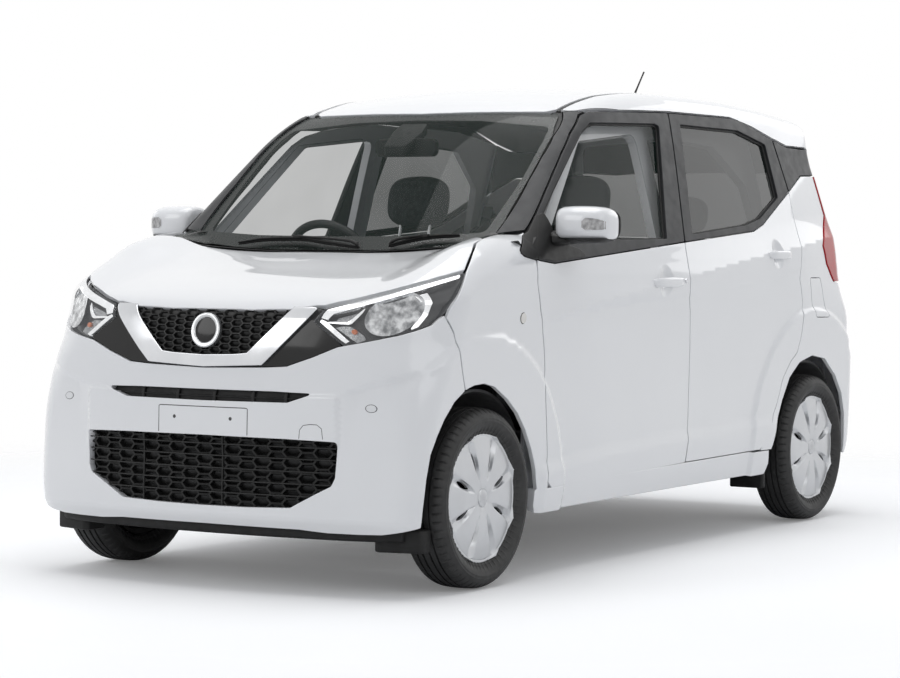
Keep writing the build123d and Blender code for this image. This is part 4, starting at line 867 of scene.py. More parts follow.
panel("sail_foot", SIDE, sail_foot, BLACK_TRIM, BOTH, "black_plastic", radius=.003, gap=0, every=.01,
    inset=-.003, lip=.008)
panel("gate_side", TAIL_WAY, filler, PAINT, BOTH, "body_white", radius=.004, gap=0, every=.014, inset=.012,
    lip=.02)

# headlamps, grille and its trim
way = NOSE_WAY
LAMP_BODY = mottled("lamp_body", (.3, .31, .32), (.42, .43, .44), .22, 14, coat=.8, metal=.3)
panel("lamp_housing", way, lamp, LAMP_BODY, BOTH, "lamp_clear", radius=.004, gap=.001, inset=.034, every=.012,
    nodes=("headlamps",))
surround = across(low_edge + on(way, "nose", (1212, 462), (1150, 415), (1092, 365), (1114, 335), (1138, 309))
    + [(.36, .868), (0, .866)])
v_hole = rounded(across([(0, .716), (.16, .716), (.3, .868), (0, .868)]), .004, .01)
panel("nose_black", way, surround, GLOSS, "body", "gloss_black", radius=.003, gap=0, inset=.006,
    holes=(v_hole,), nodes=("upper_grille",))
V_OUT = on(way, "nose", (1020, 311), (1112, 311), (1110, 320), (890, 541), (663, 546))
V_IN = on(way, "nose", (663, 497), (780, 496), (830, 492))
trim = across([(0.0, V_OUT[-1][1])] + V_OUT[-2::-1] + V_IN[::-1][:-1] + [(0.0, V_IN[0][1])])
panel("grille_v", way, trim, CHROME, "body", "chrome_trim", radius=.003, gap=0, inset=-.006, every=.008,
    lip=.014, nodes=("grille_trim",))
panel("grille_low", way, lower_hole, MOULDED, "body", "black_plastic", radius=.012, gap=0, inset=.034,
    nodes=("lower_grille",))
panel("grille_slot", way, slot_hole, MOULDED, "body", "black_plastic", radius=.006, gap=0, inset=.02)


# ---------------------------------------- shapes that stand on their own
def solid(name, mesh, mat, body_name, slot, replaces=(), sharp=38, rounding=0.0, levels=2):
    """An object from plain vertices and faces, with its hard edges rounded off."""
    bm = bmesh.new()
    made = [bm.verts.new(tuple(map(float, v))) for v in mesh[0]]
    for face in mesh[1]:
        if len(set(face)) > 2:
            try:
                bm.faces.new([made[i] for i in face])
            except ValueError:
                pass
    bmesh.ops.recalc_face_normals(bm, faces=bm.faces)
    if rounding:
        hard = [e for e in bm.edges if len(e.link_faces) == 2 and e.calc_face_angle() > math.radians(30)]
        bmesh.ops.bevel(bm, geom=hard, offset=rounding, segments=levels, profile=.5, affect="EDGES",
            clamp_overlap=True)
    data = bpy.data.meshes.new(name)
    bm.to_mesh(data)
    bm.free()
    data.polygons.foreach_set("use_smooth", [True] * len(data.polygons))
    data.set_sharp_from_angle(angle=math.radians(sharp))
    data.materials.append(mat)
    obj = bpy.data.objects.new(name, data)
    bpy.context.scene.collection.objects.link(obj)
    return dress(obj, body_name, replaces)


def pairs(name, mesh, mat, bodies, slot, replaces=((), ()), **how):
    """A left piece and its mirror image."""
    V = np.array(mesh[0])
    solid(f"{name}_left", mesh, mat, bodies[0], slot, replaces[0], **how)
    solid(f"{name}_right", (V * [1, -1, 1], mesh[1]), mat, bodies[1], slot, replaces[1], **how)


def merged(*meshes):
    """Several meshes as one."""
    V, F, base = [], [], 0
    for v, f in meshes:
        V += [tuple(p) for p in v]
        F += [tuple(i + base for i in face) for face in f]
        base += len(v)
    return np.array(V), F


def loft(rings, closed=True):
    """Rings of equally many points, joined one to the next, and capped where they are closed."""
    n = len(rings[0])
    V = np.vstack(rings)
    F = []
    for k in range(len(rings) - 1):
        for i in range(n if closed else n - 1):
            j = (i + 1) % n
            F.append((k * n + i, k * n + j, (k + 1) * n + j, (k + 1) * n + i))
    if closed:
        F.append(tuple(range(n))[::-1])
        F.append(tuple(range((len(rings) - 1) * n, len(rings) * n)))
    return V, F


def slab(outline, low, high, place):
    """A flat outline given thickness; place turns (a, b, height) arrays into positions."""
    P = np.array(outline, float)
    rings = [place(P[:, 0], P[:, 1], np.full(len(P), h)) for h in (low, high)]
    return loft(rings)


# which axes a slab's outline and thickness run along
def upright(a, b, h):
    return np.column_stack([a, h, b])


def facing(a, b, h):
    return np.column_stack([h, a, b])


def plan(a, b, h):
    return np.column_stack([a, b, h])


def box(low, high):
    """A block between two corners."""
    (x0, y0, z0), (x1, y1, z1) = low, high
    return slab([(x0, y0), (x1, y0), (x1, y1), (x0, y1)], z0, z1, plan)


def oval(n, rx, ry, power=2.0):
    """A closed section between an ellipse and, at high powers, a box."""
    t = turns(n)
    c, s = np.cos(t), np.sin(t)
    return np.column_stack([np.sign(c) * np.abs(c) ** (2 / power) * rx,
        np.sign(s) * np.abs(s) ** (2 / power) * ry])


def tube(path, section, up=(0, 0, 1), scale=None):
    """A section carried along a path, its first axis kept level with up."""
    P = np.array(path, float)
    T = np.gradient(P, axis=0)
    T /= np.linalg.norm(T, axis=1)[:, None]
    rings = []
    for k, (p, t) in enumerate(zip(P, T)):
        side = np.cross(t, up)
        side /= np.linalg.norm(side)
        top = np.cross(side, t)
        s = section * (scale[k] if scale is not None else 1)
        rings.append(p + s[:, :1] * side + s[:, 1:] * top)
    return loft(rings)


def bent(*points, every=.02):
    """A smooth line through a few places."""
    P = np.array(points, float)
    if len(P) == 2:
        return P
    chord = np.concatenate([[0], np.cumsum(np.linalg.norm(np.diff(P, axis=0), axis=1))])
    at = np.linspace(0, chord[-1], max(4, int(chord[-1] / every)))
    return np.column_stack([pchip(chord, P[:, k])(at) for k in range(3)])


def turned(profile, segments, shape=None):
    """A surface turned round the Y axis from (radius, outward) points."""
    P = np.array(profile, float)
    t = turns(segments)
    r = np.tile(P[:, 0], (segments, 1))
    y = np.tile(P[:, 1], (segments, 1))
    if shape is not None:
        r, y = shape(t[:, None], r, y)
    V = np.stack([r * np.cos(t)[:, None], y, r * np.sin(t)[:, None]], axis=2).reshape(-1, 3)
    m = len(P)
    F = []
    for a in range(segments):
        b = (a + 1) % segments
        for k in range(m - 1):
            F.append((a * m + k, b * m + k, b * m + k + 1, a * m + k + 1))
    return V, F


# ---------------------------------------- wheels
AXLES = {"front": 1.21, "rear": -1.285}
HALF_TRACK, TYRE_R = .65, .2785
TYRE = mottled("tyre_rubber", .01, .02, .6, 26, grain=(420, .22, .0005))
COVER = mottled("cover_silver", (.58, .59, .605), (.62, .63, .645), .32, 9, coat=.25, metal=.5,
    rough_span=.03)
STEEL = mottled("black_steel", .012, .026, .55, 40, grain=(500, .2, .0004))


TREAD_STEPS, TREAD_PITCH = 384, 6
BLADES, SLOT_FROM, SLOT_TO = 8, .086, .152


def tyre_profile():
    half = [(.193, .05), (.1968, .053), (.201, .0552), (.203, .0575), (.206, .0588), (.208, .059),
        (.213, .064), (.22, .0698), (.228, .0742), (.236, .0768), (.2376, .0774), (.2392, .077),
        (.245, .0765), (.2466, .0768), (.248, .0757), (.254, .0738), (.26, .0705), (.265, .0665),
        (.2692, .0618), (.2722, .057), (.2742, .052), (.2756, .047), (.2764, .044), (.2768, .0395),
        (.2772, .0372), (.2712, .0364), (.2712, .0316), (.2774, .0308), (.2781, .023), (.2783, .016),
        (.2724, .0152), (.2724, .01), (.2784, .0092), (.2785, .0000)]
    return half + [(r, -y) for r, y in half[-2::-1]]


def tread(t, r, y):
    """Cross cuts in the shoulders, and shallow sipes in the ribs between the grooves."""
    column = np.round(t / (2 * math.pi) * TREAD_STEPS).astype(int)
    cut = (column % TREAD_PITCH == 0) & (np.abs(y) > .04) & (np.abs(y) < .069)
    sipe = ((column + (y > 0) * 3) % TREAD_PITCH == 2) & (np.abs(y) < .03) & (np.abs(y) > .0165) & (
        r > .275)
    return r - np.where(cut, .0042, 0) - np.where(sipe, .0022, 0), y


def cover_ring(r, columns, high, gap, deep):
    """One ring of the cover: eight points across each valley, then nine along the blade after it."""
    s = .0088 * max(0.0, math.sin(math.pi * min(max((r - .086) / .066, 0), 1))) ** .55
    s = min(max(s, .0003), gap - .0012) if gap > .002 else .0002
    lean = .0022 if gap > .006 else 0
    offsets = [-gap - .0014, -gap, -s - .0012 + lean, -s + lean, s + lean, s + .0012 + lean, gap, gap + .0014]
    rim = .0006 if deep > .001 else 0
    drops = [0, rim, deep * .92, deep, deep, deep * .92, rim, 0]
    ring = []
    for middle, k in columns:
        if k < 8:
            a, down = middle + offsets[k] / r, drops[k]
        else:
            start, end = offsets[7] / r, math.radians(360 / BLADES) + offsets[0] / r
            a, down = middle + start + (end - start) * (k - 7) / 10, 0
        ring.append((r * math.cos(a), high - down, r * math.sin(a)))
    return ring


def cover_mesh():
    """Eight broad blades with a valley and a slot between each two."""
    radii = [.008, .016, .022, .0262, .0276, .029, .0308, .035, .04, .046, .052, .058, .064, .07, .076,
        .082, .087, .092, .098, .105, .112, .12, .128, .135, .141, .146, .151, .157, .164, .171, .178, .184,
        .1885, .1905, .1925, .195, .1972, .1988, .1996]
    high = pchip([0, .022, .0262, .0276, .029, .0308, .04, .064, .1, .14, .17, .184, .1885, .1905,
        .1925, .195, .1972, .1988, .1996], [.0622, .0618, .0606, .058, .058, .0592, .0606, .0618, .0624,
        .0608, .0578, .0558, .0551, .054, .0546, .055, .0545, .053, .048])
    gap = pchip([0, .05, .064, .1, .15, .186, .19], [.0004, .0004, .005, .0112, .015, .02, .0004])
    deep = pchip([0, .05, .07, .1, .15, .18, .189, .1905], [0, 0, .0052, .011, .0115, .0062, .002, 0])
    columns = [(math.radians(22.5 + 45 * sector), k) for sector in range(BLADES) for k in range(17)]
    n = len(columns)
    V, walls = [(0, float(high(0)), 0)], {}
    for r in radii:
        V += cover_ring(r, columns, float(high(r)), float(gap(r)), float(deep(r)))
    F = [(0, 1 + (c + 1) % n, 1 + c) for c in range(n)]
    for i in range(len(radii) - 1):
        for c in range(n):
            e = (c + 1) % n
            quad = (1 + i * n + c, 1 + i * n + e, 1 + (i + 1) * n + e, 1 + (i + 1) * n + c)
            if columns[c][1] == 3 and SLOT_FROM <= radii[i] and radii[i + 1] <= SLOT_TO:
                walls[quad[0], quad[3]] = walls[quad[1], quad[2]] = True
            else:
                F.append(quad)
    # each slot has walls that go down into the dark
    lowered = {}
    for v in [v for edge in walls for v in edge]:
        if v not in lowered:
            lowered[v] = len(V)
            x, y, z = V[v]
            V.append((x, y - .01, z))
    F += [(a, b, lowered[b], lowered[a]) for a, b in walls]
    return np.array(V), F


def wheels():
    """Tyre, cover and rim with its nuts at each corner."""
    rubber = turned(tyre_profile(), TREAD_STEPS, tread)
    cover = cover_mesh()
    steel = turned([(.02, .034), (.058, .034), (.068, .026), (.08, .02), (.11, .018), (.14, .02),
        (.16, .028), (.172, .034), (.18, .044), (.185, .0505), (.189, .0512), (.1915, .05),
        (.19, .044), (.186, .02), (.17, -.01), (.17, -.04), (.188, -.05), (.19, -.06)], 72)
    nuts = []
    for k in range(4):
        a = math.radians(45 + 90 * k)
        ring = oval(6, .0105, .0105)
        nuts.append(slab(ring + [.05 * math.cos(a), .05 * math.sin(a)], .026, .048, upright))
    steel = merged(steel, *nuts)
    for end, x in AXLES.items():
        for side, sign in (("left", 1), ("right", -1)):
            name = f"{end}_{side}"
            place = lambda mesh: (mesh[0] * [1, sign, 1] + [x, sign * HALF_TRACK, TYRE_R], mesh[1])
            solid(f"tyre_skin_{name}", place(rubber), TYRE, f"wheel_{name}", "tyre", (f"tyre_{name}",),
                sharp=34)
            solid(f"wheel_cover_{name}", place(cover), COVER, f"wheel_{name}", "cover_silver",
                (f"wheel_{name}",), sharp=24)
            solid(f"steel_rim_{name}", place(steel), STEEL, f"wheel_{name}", "black_plastic", sharp=40)


wheels()

# ---------------------------------------- door mirrors
CAP_ROWS = np.array([
    # out, middle in x and z, half sizes in x and z
    (.718, .73, 1.1215, .024, .028), (.7205, .73, 1.1215, .046, .042),
    (.727, .73, 1.1212, .062, .052), (.742, .73, 1.1205, .071, .0575),
    (.775, .73, 1.12, .076, .06), (.815, .7295, 1.1195, .0775, .0605),
    (.848, .7285, 1.119, .0755, .059), (.869, .727, 1.118, .071, .056),
    (.883, .725, 1.117, .063, .05), (.8915, .723, 1.116, .05, .041),
    (.8955, .7215, 1.1155, .032, .028), (.8966, .721, 1.115, .012, .011),
])
CAP_CURVES = [pchip(CAP_ROWS[:, 0], CAP_ROWS[:, k]) for k in range(1, 5)]
GLASS_X = .664


def cap_ring(y, angles, grow=0.0):
    """A ring round the mirror's shell this far out, cut off flat where its glass is."""
    cx, cz, hx, hz = [float(c(y)) for c in CAP_CURVES]
    c, s = np.cos(angles), np.sin(angles)
    x = cx + np.sign(c) * np.abs(c) ** .64 * (hx + grow)
    z = cz + np.sign(s) * np.abs(s) ** .64 * (hz + grow)
    return np.column_stack([np.maximum(x, GLASS_X - grow), np.full(len(angles), y), z])


def mirrors():
    """Shell, skirt, turn lamp, glass and foot of both door mirrors."""
    rows = np.concatenate([CAP_ROWS[:5, 0], np.linspace(.795, .855, 4), CAP_ROWS[7:, 0]])
    around = turns(48)
    upper = loft([cap_ring(y, around) for y in rows])
    pairs("mirror_cap", upper, PAINT, FRONT_DOORS, "body_white", (("mirror_left",), ("mirror_right",)),
        sharp=55)
    low = np.linspace(math.radians(-176), math.radians(-4), 26)
    belly = [cap_ring(y, low, .001) for y in rows[1:-2]]
    skirt = [np.where(ring[:, 2:] > 1.0785, np.column_stack([ring[:, 0], ring[:, 1],
        np.full(len(ring), 1.0785)]), ring) for ring in belly]
    pairs("mirror_skirt", loft(skirt, closed=False), BLACK_TRIM, FRONT_DOORS, "black_plastic", sharp=50)
    strip_a = np.linspace(math.radians(-7), math.radians(12), 7)
    strip_y = np.linspace(.828, .8935, 12)
    body_strip = loft([cap_ring(y, strip_a * (1 if y > .84 else .35 + .65 * (y - .828) / .012), .0011)
        for y in strip_y], closed=False)
    pairs("mirror_turn_lamp", body_strip, STRIP, FRONT_DOORS, "lamp_clear", sharp=60)
    face = oval(36, .086, .0505, 3.6) + [.8075, 1.119]
    rim = slab(face, GLASS_X - .0018, GLASS_X + .004, facing)
    pairs("mirror_bezel", rim, BLACK_TRIM, FRONT_DOORS, "black_plastic", rounding=.0008)
    face = oval(36, .0815, .046, 3.6) + [.8075, 1.119]
    pane = slab(face, GLASS_X - .0026, GLASS_X, facing)
    pairs("mirror_glass", pane, MIRROR_FACE, FRONT_DOORS, "glass_green", rounding=.0005)
    arm_rows = [
        # y, middle x, middle z, half x, half z
        (.7, .752, 1.075, .044, .026), (.708, .752, 1.074, .046, .026),
        (.722, .757, 1.073, .05, .022), (.745, .75, 1.073, .043, .017),
        (.77, .745, 1.073, .04, .015), (.792, .742, 1.074, .037, .013),
    ]
    rings = [np.column_stack([o[:, 0] + cx, np.full(28, y), o[:, 1] + cz]) for y, cx, cz, hx, hz in arm_rows
             for o in [oval(28, hx, hz, 2.8)]]
    pairs("mirror_arm", loft(rings), BLACK_TRIM, FRONT_DOORS, "black_plastic", sharp=50)
    sail = on(SIDE, "right_top", (228, 700), (226, 872), (296, 886), (430, 866), (395, 835), (300, 800),
        (252, 690))
    panel("mirror_sail", SIDE, sail, BLACK_TRIM, FRONT_DOORS, "black_plastic", radius=.008, gap=0,
        inset=-.003, every=.012, lip=.006)


STRIP = mottled("turn_strip", (.2, .2, .205), (.46, .46, .465), .16, 90, coat=.6, metal=.6)
MIRROR_FACE = mottled("mirror_silvering", (.62, .66, .68), (.7, .73, .75), .04, 5, metal=1.0, rough_span=.02)
mirrors()

# ---------------------------------------- handles, side lamps, lock, aerial
HANDLES = (
    # bodies, back and front ends in x, middle height, half height, how far it stands out
    ("front_handle", FRONT_DOORS, -.103, .122, .9275, .0165, .019),
    ("rear_handle", REAR_DOORS, -1.025, -.826, 1.0185, .0155, .018),
)
for name, bodies, x0, x1, z, half, out in HANDLES:
    rings = []
    for t in np.concatenate([[0, .008, .022, .045], np.linspace(.08, .92, 15), [.955, .978, .992, 1]]):
        x = x0 + (x1 - x0) * t
        skin = touch(SIDE, x0, z)[1] * (1 - t) + touch(SIDE, x1, z)[1] * t
        stand_off = out * (1 - abs(2 * t - 1) ** 5) + .0015
        end = max(.05, 1 - abs(2 * t - 1) ** 14) ** .5
        tall = half * (.8 + .2 * (1 - abs(2 * t - 1.15) ** 2)) * end
        o = oval(20, .0062 * end, tall, 2.6)
        rings.append(np.column_stack([np.full(20, x), o[:, 0] + skin + stand_off - .006, o[:, 1] + z]))
    pairs(name, loft(rings), PAINT, bodies, "body_white", sharp=60)


def disc_on(way, part_or_spot, radius, rise, mat, name, bodies, slot, n=24):
    """A round button that follows the skin."""
    ab = np.array(part_or_spot, float)
    ring = [ab + radius * np.array([math.cos(a), math.sin(a)]) for a in turns(n)]
    panel(name, way, ring, mat, bodies, slot, radius=0, gap=0, inset=-rise, every=radius * .6,
        lip=rise + .002, edge=min(.0012, radius * .2))


AMBER = mottled("clear_amber", (.72, .7, .66), (.8, .78, .74), .12, 60, coat=.8)
marker = on(SIDE, "side", (493, 353))[0]
disc_on(SIDE, marker, .0185, .0006, MOULDED, "side_marker_seat", BOTH, "black_plastic")
disc_on(SIDE, marker, .0165, .0032, AMBER, "side_marker", BOTH, "lamp_clear")
lock = (-.088, .932)
P = touch(SIDE, *lock)
lock_ring = turned([(.0, .0012), (.0052, .0014), (.0056, .0004), (.0066, .0004), (.0072, .002),
    (.008, .002), (.0086, .0006), (.0088, -.002)], 28)
solid("door_lock", (lock_ring[0] + P + [0, .0185, 0], lock_ring[1]), CHROME, "front_door_left", "chrome_trim",
    sharp=30)

antenna_base = loft([np.column_stack([o[:, 0] - 1.137 - .02 * k, o[:, 1], np.full(24, z)])
    for k, (z, rx, ry) in enumerate(((1.6, .036, .021), (1.613, .034, .02), (1.624, .028, .017),
    (1.634, .019, .013), (1.641, .012, .009), (1.645, .006, .005))) for o in [oval(24, rx, ry, 2.3)]])
mast = tube([(-1.153 - .0135 * k, 0, 1.638 + .0155 * k) for k in range(0, 7)], oval(12, .0034, .0034),
    up=(0, 1, 0), scale=[1.5, 1.2, 1, 1, .9, .9, 1.0])
solid("aerial", merged(antenna_base, mast), MOULDED, "body", "black_plastic", ("antenna",), sharp=50)


# ---------------------------------------- glass
WINDSHIELD = glass("green_glass", (.016, .032, .026), .31)
PRIVACY = glass("privacy_glass", (.012, .015, .014), .82)
FRIT = mottled("frit_black", .004, .007, .3, 30, rough_span=.05)

way = FRONT
side_edge = on(way, "right_top", (62, 778), (190, 560), (290, 380), (322, 290))
top_edge = spots(way, *[("t", x, y) for x, y in reversed(MESH_TOP)])
screen_half = [(0, 1.036), (.2, 1.037), (.36, 1.043), (.5, 1.055)] + side_edge + top_edge[1:]
screen_half[-1] = (0.0, screen_half[-1][1])
screen_all = across(screen_half)
panel("windscreen_glass", way, screen_all, WINDSHIELD, "body", "glass_green", radius=.03, gap=.001,
    inset=.0022, every=.02, lip=.004, edge=.001, nodes=("windscreen",))
side_hole = on(way, "right_top", (20, 762), (160, 560), (262, 380), (276, 340))
hole_half = [(0, 1.083), (.3, 1.086), (.5, 1.096)] + side_hole + [(.25, 1.475), (0, 1.48)]
frit_hole = rounded(across(hole_half), .03, .014)
panel("windscreen_border", way, screen_all, FRIT, "body", "gloss_black", radius=.03, gap=.002, inset=.0062,
    every=.018, holes=(frit_hole,), lip=.003, inner_lip=.002, edge=.001)


def grown(loop, amount):
    """A finished outline, moved outward."""
    return [tuple(p) for p in inward(loop, -amount)]


panel("front_pane", SIDE, grown(front_hole, .01), WINDSHIELD, FRONT_DOORS, "glass_green", radius=0, gap=0,
    inset=.014, every=.03, lip=.004, edge=.001, nodes=("front_door_glass",))
panel("rear_pane", SIDE, grown(rear_hole, .01), PRIVACY, REAR_DOORS, "glass_tinted", radius=0, gap=0,
    inset=.014, every=.03, lip=.004, edge=.001, nodes=("rear_door_glass",))
panel("tailgate_pane", TAIL_WAY, grown(window_loop, -.001), PRIVACY, "tailgate", "glass_tinted", radius=0,
    gap=0, inset=.003, every=.03, lip=.004, edge=.001, nodes=("tailgate_glass",))

# rubber runs round the side windows' glass
for name, hole, bodies in (("front_glass_run", front_hole, FRONT_DOORS),
        ("rear_glass_run", rear_hole, REAR_DOORS)):
    panel(name, SIDE, grown(hole, .003), RUBBER_SEAL, bodies, "black_plastic", radius=0, gap=0, inset=.01,
        every=.012, holes=(inward(hole, .006),), lip=.006, edge=.0015)

# ---------------------------------------- cowl and wipers
COWL_PLASTIC = mottled("cowl_plastic", .01, .017, .55, 30, grain=(600, .3, .0005))


def cowl():
    """A black valley between the bonnet and the windscreen, with a ribbed intake."""
    ys = np.linspace(-.702, .702, 121)
    rows = []
    for t in np.linspace(0, 1, 15):
        row = []
        for y in ys:
            a = abs(y)
            rear = .9895 - 1.255 * (1.046 + .028 * (a / .62) ** 2 - 1.08) - .17 * a**2 - .01
            fore = float(np.interp(a, [0, .2, .42, .56, .645, .702],
                [1.069, 1.061, 1.036, 1.018, 1.002, .985]))
            x = rear - .02 + (fore + .012 - rear + .02) * t
            z = 1.04 + .034 * (a / .65) ** 2 - .034 * math.sin(math.pi * min(1, t * 1.1)) - .012 * t
            if .35 < t < .75 and a < .52:
                z += .0016 * math.cos(2 * math.pi * y / .0235)
            row.append((x, y, z))
        rows.append(np.array(row))
    sheet = loft(rows, closed=False)
    solid("cowl_cover", sheet, COWL_PLASTIC, "body", "black_plastic", ("cowl",), sharp=50)


cowl()


def wipers():
    """Two blades asleep at the foot of the windscreen, each on an arm from its pivot."""
    for name, pixels in (
        ("right", ((480, 822), (600, 806), (720, 804), (835, 820), (950, 838))),
        ("left", ((1085, 832), (1150, 815), (1225, 800), (1292, 794), (1362, 792))),
    ):
        places = seen("left_top", *pixels)
        normal = gradient(places)
        blade = bent(*(places + normal * .008), every=.015)
        foot = places[-1 if name == "right" else 0] + normal[0] * .01 - [.012, 0, 0]
        arm_path = bent(foot + [.004, 0, -.004], foot + normal[0] * .01, places[2] + normal[2] * .022,
            every=.012)
        n = len(blade)
        t = np.linspace(0, 1, n)
        rubber = tube(blade, oval(10, .003, .0065), scale=.55 + .45 * np.sin(np.pi * t) ** .5)
        spoiler = tube(blade + normal[2] * .006, oval(12, .0075, .0042, 2.5),
            scale=.45 + .55 * np.sin(np.pi * t) ** .4)
        m = len(arm_path)
        bar = tube(arm_path, oval(14, .0085, .0045, 3.0), scale=np.linspace(1.25, .75, m))
        clip = places[2] + normal[2] * .017
        clip = box(clip - [.01, .016, .006], clip + [.01, .016, .007])
        solid(f"wiper_{name}", merged(rubber, spoiler, bar), MOULDED, "body", "black_plastic", sharp=50)
        solid(f"wiper_clip_{name}", clip, MOULDED, "body", "black_plastic", rounding=.004)


wipers()


# ---------------------------------------- grille meshes, badge and what else the nose wears
def mesh_cells(name, centres, half_w, half_h, outline, inset, depth, mat, slot):
    """Long six-sided pockets side by side, each floor leaning back towards its top, as one sheet."""
    corners = np.array([(-1, 0), (-.58, -1), (.58, -1), (1, 0), (.58, 1), (-.58, 1)])
    inside = within(np.array(centres), np.array(outline, float))
    centres = np.array(centres)[inside]
    rings = [(1.03, 0.0), (.9, -.0008), (.8, .45), (.7, .95)]
    flat, deep = [], []
    for size, level in rings:
        for c in centres:
            for k, (a, b) in enumerate(corners):
                flat.append((c[0] + a * half_w * size, c[1] + b * half_h * (size - .06)))
                tilt = (.32 * b if level > .5 else 0)
                deep.append(inset + depth * (level - tilt))
    for c in centres:
        flat.append((c[0], c[1]))
        deep.append(inset + depth * .8)
    flat = np.array(flat)
    P = trace(*FRONT.rays(flat))
    N = gradient(P)
    P = P - N * np.array(deep)[:, None]
    n, F = len(centres), []
    for ring in range(3):
        for c in range(n):
            for k in range(6):
                a, b = (ring * n + c) * 6 + k, (ring * n + c) * 6 + (k + 1) % 6
                F.append((a, b, b + 6 * n, a + 6 * n))
    for c in range(n):
        for k in range(6):
            F.append(((3 * n + c) * 6 + k, (3 * n + c) * 6 + (k + 1) % 6, 4 * n * 6 + c))
    solid(name, (P, F), mat, "body", slot, sharp=20)


def staggered(y_half, z_low, z_high, half_w, half_h):
    """Centres of touching cells in a staggered field."""
    out = []
    pitch_y, pitch_z = half_w * 1.58, half_h * 2.0
    for i in range(-int(y_half / pitch_y) - 1, int(y_half / pitch_y) + 2):
        for j in range(int((z_high - z_low) / pitch_z) + 2):
            out.append((i * pitch_y, z_low + j * pitch_z + (half_h if i % 2 else 0)))
    return out


MESH_BLACK = mottled("mesh_black", .005, .009, .38, 40, grain=(900, .08, .0003), spec=.3)
mesh_cells("upper_mesh", staggered(.34, .7, .88, .0225, .0105), .0225, .0105,
    across([(0, .712), (.17, .712), (.322, .878), (0, .882)]), .004, .01, MESH_BLACK, "gloss_black")
low_area = across([(0, .252), (.32, .256), (.462, .325), (.478, .478), (0, .484)])
mesh_cells("lower_mesh", staggered(.49, .244, .49, .033, .0155), .033, .0155, low_area, .013, .013,
    MESH_BLACK, "black_plastic")


def resampled(line, every, least):
    """A flat line cut into even steps."""
    length = np.concatenate([[0], np.cumsum(np.linalg.norm(np.diff(line, axis=0), axis=1))])
    at = np.linspace(0, length[-1], max(least, int(length[-1] / every)))
    return np.column_stack([np.interp(at, length, line[:, k]) for k in range(2)])


def bar_on_nose(path, section, inset):
    """A bar that follows the nose's curve at a depth behind it."""
    P = on_skin(FRONT, resampled(np.array(path, float), .02, 3), inset)[0]
    return tube(P, section, up=(0, 0, 1) if abs(path[-1][1] - path[0][1]) < abs(path[-1][0] - path[0][0])
        else (0, 1, 0))


bars = []
for z in (.3, .337, .374, .411, .446):
    reach = float(np.interp(z, [.26, .335, .36], [.315, .452, .462]))
    bars.append(bar_on_nose([(-reach, z), (reach, z)], oval(8, .0045, .0022, 3), .0095))
bars.append(bar_on_nose([(.07, .262), (.07, .47)], oval(8, .003, .003, 3), .012))
bars.append(bar_on_nose([(-.235, .262), (-.235, .47)], oval(8, .003, .003, 3), .012))
solid("lower_bars", merged(*bars), MESH_BLACK, "body", "black_plastic", sharp=50)
ribs = [bar_on_nose([(y, .575), (y, .614)], oval(8, .003, .006, 3), .016)
    for y in (-.245, -.105, .035, .175, .29)]
ribs.append(bar_on_nose([(-.34, .597), (.34, .597)], oval(8, .004, .0018, 3), .018))
solid("slot_ribs", merged(*ribs), MOULDED, "body", "black_plastic", sharp=50)

SATIN_SILVER = mottled("satin_silver", (.5, .51, .52), (.58, .59, .6), .24, 30, metal=.9, rough_span=.05)
badge_at = on(FRONT, "nose", (663, 400))[0]
P0 = touch(FRONT, 0.0, badge_at[1])
N0 = gradient(P0[None, :])[0]
up0 = np.array([0, 0, 1.0]) - N0 * N0[2]
up0 /= np.linalg.norm(up0)
side0 = np.cross(up0, N0)
for name, profile, finish in (("badge_ring", [(.0385, -.002), (.0385, .0022), (.0405, .0052), (.045, .0068),
        (.05, .0066), (.0535, .0042), (.055, -.008)], SATIN_SILVER),
        ("badge_face", [(0, .004), (.012, .0039), (.024, .0034), (.034, .0026), (.0395, .0014)], GLOSS)):
    V, F = turned(profile, 72)
    solid(name, (P0 + V[:, :1] * side0 + V[:, 1:2] * N0 + V[:, 2:] * up0, F), finish, "body", "chrome_trim",
        sharp=30)

# painted shade: a dark grey that stands in for the shadow inside grooves, gaps and holes
PAINTED_SHADE_GREY = mottled("painted_shade_grey", .055, .075, .7, 60)


def painted_shade_line(name, way, path, width):
    """A thin dark line of painted shade on the skin where two parts meet, standing in for the shadow in their
    groove.
    """
    P, N = on_skin(way, resampled(np.array(path, float), .006, 4), 0)
    T = np.gradient(P, axis=0)
    T /= np.linalg.norm(T, axis=1)[:, None]
    S = np.cross(N, T)
    rows = [P + S * width + N * .0001, P + N * .0004, P - S * width + N * .0001]
    mesh = loft([np.array(r) for r in zip(*rows)], closed=False)
    solid(name, mesh, PAINTED_SHADE_GREY, "body", "body_white", sharp=60)


# painted shade along the edge of the plate's recess
painted_shade_line("plate_recess_shade_line", FRONT, spots(FRONT, ("f", -.166, .477), ("f", -.166, .557), ("f", -.16, .559),
    ("f", .16, .559), ("f", .166, .557), ("f", .166, .477)), width=.0014)
# dark discs of painted shade where the plate's bolt holes are
for sign, side in ((-1, "right"), (1, "left")):
    hole_at = (sign * .105, .525)
    disc_on(FRONT, hole_at, .006, .0005, PAINTED_SHADE_GREY, f"plate_bolt_{side}", "body", "black_plastic", n=12)
SONAR = mottled("sonar_face", (.74, .75, .765), (.78, .79, .8), .35, 50, coat=.6)
# a ring of painted shade round the sensor, standing in for the shadow in its gap
disc_on(NOSE_WAY, on(NOSE_WAY, "nose", (1325, 715))[0], .0125, .0004, PAINTED_SHADE_GREY, "sonar_gap_shade", BOTH,
    "black_plastic")
disc_on(NOSE_WAY, on(NOSE_WAY, "nose", (1325, 715))[0], .0108, .0016, SONAR, "sonar", BOTH, "body_white")
# painted shade round the tow-eye cover, for the shadow in its groove
tow = on(FRONT, "nose", (1035, 835), (1038, 800), (1052, 782), (1080, 778), (1108, 780), (1126, 796),
    (1130, 838))
painted_shade_line("tow_cover_shade_line", FRONT, tow, width=.001)

